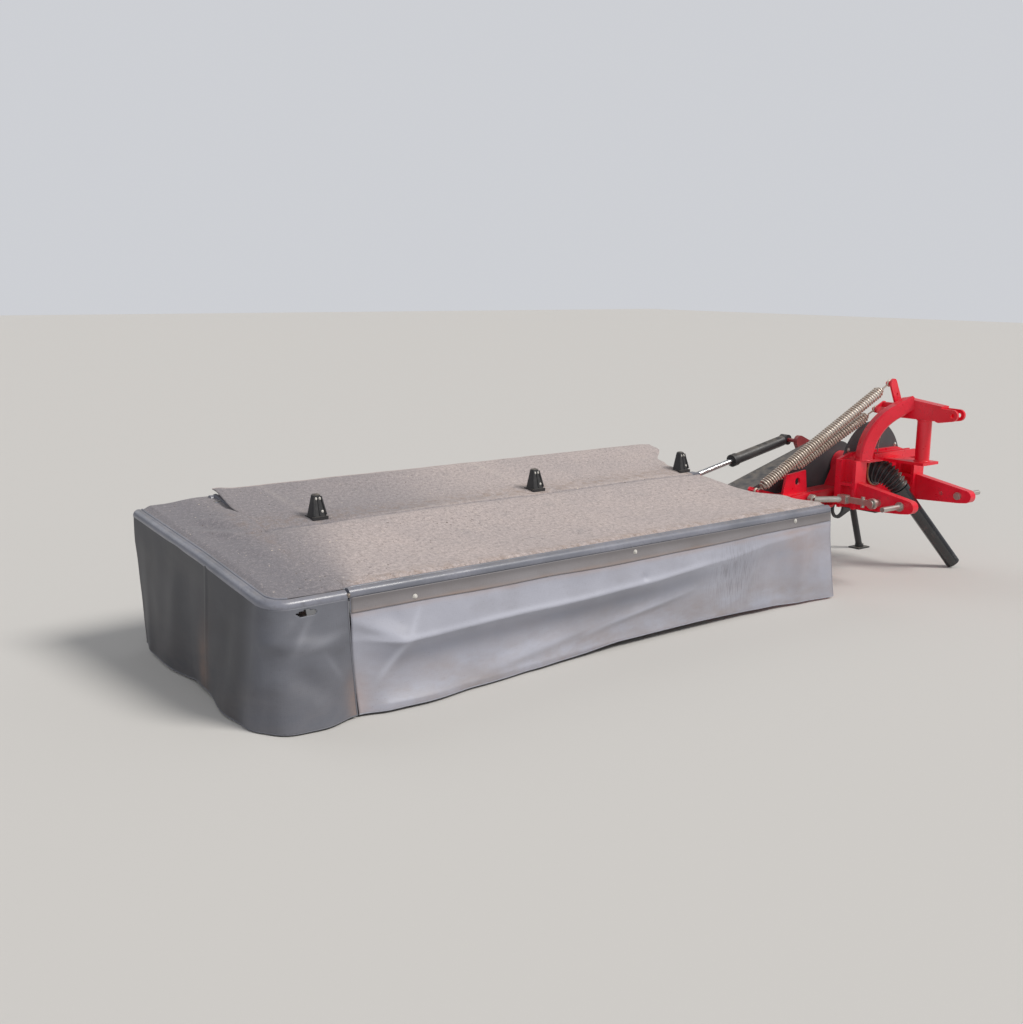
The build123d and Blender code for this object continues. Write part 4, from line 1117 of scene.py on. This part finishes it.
# %% Rivets
def dome(name, centre, normal, radius, height, material, body):
    """A flat-bottomed dome with a washer under it."""
    bpy.ops.object.select_all(action="DESELECT")
    bpy.ops.mesh.primitive_uv_sphere_add(segments=24, ring_count=12, radius=radius)
    piece = bpy.context.object
    piece.name = piece.data.name = name
    bpy.ops.object.mode_set(mode="EDIT")
    bpy.ops.mesh.select_all(action="SELECT")
    bpy.ops.mesh.bisect(plane_co=(0, 0, 0), plane_no=(0, 0, 1), clear_inner=True, use_fill=True)
    bpy.ops.mesh.select_all(action="SELECT")
    bpy.ops.transform.resize(value=(1, 1, height / radius))
    bpy.ops.object.mode_set(mode="OBJECT")
    bpy.ops.mesh.primitive_cylinder_add(vertices=28, radius=radius * 1.45, depth=0.002, location=(0, 0, 0))
    washer = bpy.context.object
    bevel = washer.modifiers.new("edge", "BEVEL")
    bevel.width = 0.0006
    bevel.segments = 2
    bpy.ops.object.modifier_apply(modifier=bevel.name)
    piece.select_set(True)
    bpy.context.view_layer.objects.active = piece
    bpy.ops.object.join()
    piece.data.transform(Vector(normal).to_track_quat("Z", "Y").to_matrix().to_4x4())
    piece.data.transform(Matrix.Translation(centre))
    bpy.ops.object.shade_smooth_by_angle(angle=math.radians(40))
    piece.data.materials.clear()
    piece.data.materials.append(material)
    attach(piece, body)
    return piece


pale_rivet = moulded("pale_rivet", (0.62, 0.60, 0.56), 0.4, 0.0, 0.2, 300)
RIVETS = ((-2.644, 0.421), (-1.439, 0.438), (-0.296, 0.446))
for number, (x, z) in enumerate(RIVETS, 1):
    spot = at(x, -0.003 - curtain_out(x, z), z)
    dome(f"curtain_rivet_{number}", spot, (0, -1, 0), 0.008, 0.005, pale_rivet, "front_cover")
print("rivets", len(RIVETS))

# %% [markdown]
# The hinge caps are moulded with upright ribs and take small bolts. Weld beads run round the post
# and the mast's foot, three bolts show on the upper half of the round shield, and a rusty bolt
# shows where the two rails meet. A zinc-plated clip holds the boot to the plate.

# %% Caps, welds and bolts
def ring(centre, radius, axis_out, axis_side, count=40):
    """Points of a closed circle."""
    turns = [2 * math.pi * i / count for i in range(count + 1)]
    return [centre + axis_out * (radius * math.cos(a)) + axis_side * (radius * math.sin(a)) for a in turns]


ALONG_X, ALONG_Y, ALONG_Z = Vector((1, 0, 0)), Vector((0, 1, 0)), Vector((0, 0, 1))
CAP_Y, CAP_LOW, CAP_HIGH = 0.752, 0.6250, 0.7175
FACE_LEAN = Vector((0, -0.97, 0.24))


def cap_front(x, share, side):
    """A point on a cap's front face: share up from the base, side from -1 to 1 across."""
    half = 0.035 - 0.018 * share
    return at(x + side * half, CAP_Y - 0.033 + 0.024 * share, CAP_LOW + (CAP_HIGH - CAP_LOW) * share)


for number, arm in enumerate(ARMS, 1):
    for rib, side in enumerate((-0.9, 0.0, 0.9), 1):
        points = [cap_front(arm, 0.05, side), cap_front(arm, 0.92, side)]
        rolled_edge(f"cap_{number}_rib_{rib}", points, 0.0045, black_plastic, "cutter_unit", "black_plastic")
    for bolt, (share, side) in enumerate(((0.82, -0.45), (0.82, 0.5), (0.22, 0.45)), 1):
        spot = cap_front(arm, share, side)
        dome(f"cap_{number}_bolt_{bolt}", spot, FACE_LEAN, 0.0042, 0.003, pale_rivet, "cutter_unit")

for name, height in (("low", 0.666), ("high", 0.898)):
    weld = ring(at(0.795, -0.010, height), 0.041, ALONG_X, ALONG_Y)
    rolled_edge(f"post_weld_{name}", weld, 0.0045, red_paint, "headstock", "red_paint")

mast_way = Vector((0.872, -0.490, 0)).normalized()
mast_side = ALONG_Z.cross(mast_way)
MAST_HALF = 0.0385
mast_foot = at(0.552, 0.204, 0.666)
foot_corners = [(1, 1), (1, -1), (-1, -1), (-1, 1), (1, 1)]
mast_weld = [mast_foot + mast_way * (MAST_HALF * a) + mast_side * (MAST_HALF * b) for a, b in foot_corners]
rolled_edge("mast_weld", mast_weld, 0.0045, red_paint, "headstock", "red_paint")

BOLT_CIRCLE = 0.262
for number in range(3):
    angle = math.radians(30 + 60 * number)
    spot = at(0.795 + BOLT_CIRCLE * math.cos(angle), 0.3225, 0.575 + BOLT_CIRCLE * math.sin(angle))
    dome(f"shield_bolt_{number + 1}", spot, (0, -1, 0), 0.009, 0.006, zinc, "headstock")

spot = at(SPLIT_X, 0.0015, 0.470)
dome("rail_bolt", spot, (0, -1, 0), 0.0065, 0.005, worn_steel, "front_cover")
clip = ring(at(0.795, 0.282, 0.575), 0.0868, ALONG_X, ALONG_Z)
yellow_zinc = metal("yellow_zinc", (0.62, 0.46, 0.12), (0.40, 0.28, 0.10), 0.36, 0.6, 0.5, 0.06, 160)
rolled_edge("boot_clip", clip, 0.0035, yellow_zinc, "headstock", "zinc")
print("caps", len(ARMS), "shield bolts", 3, "weld beads", 3, "and the clip")
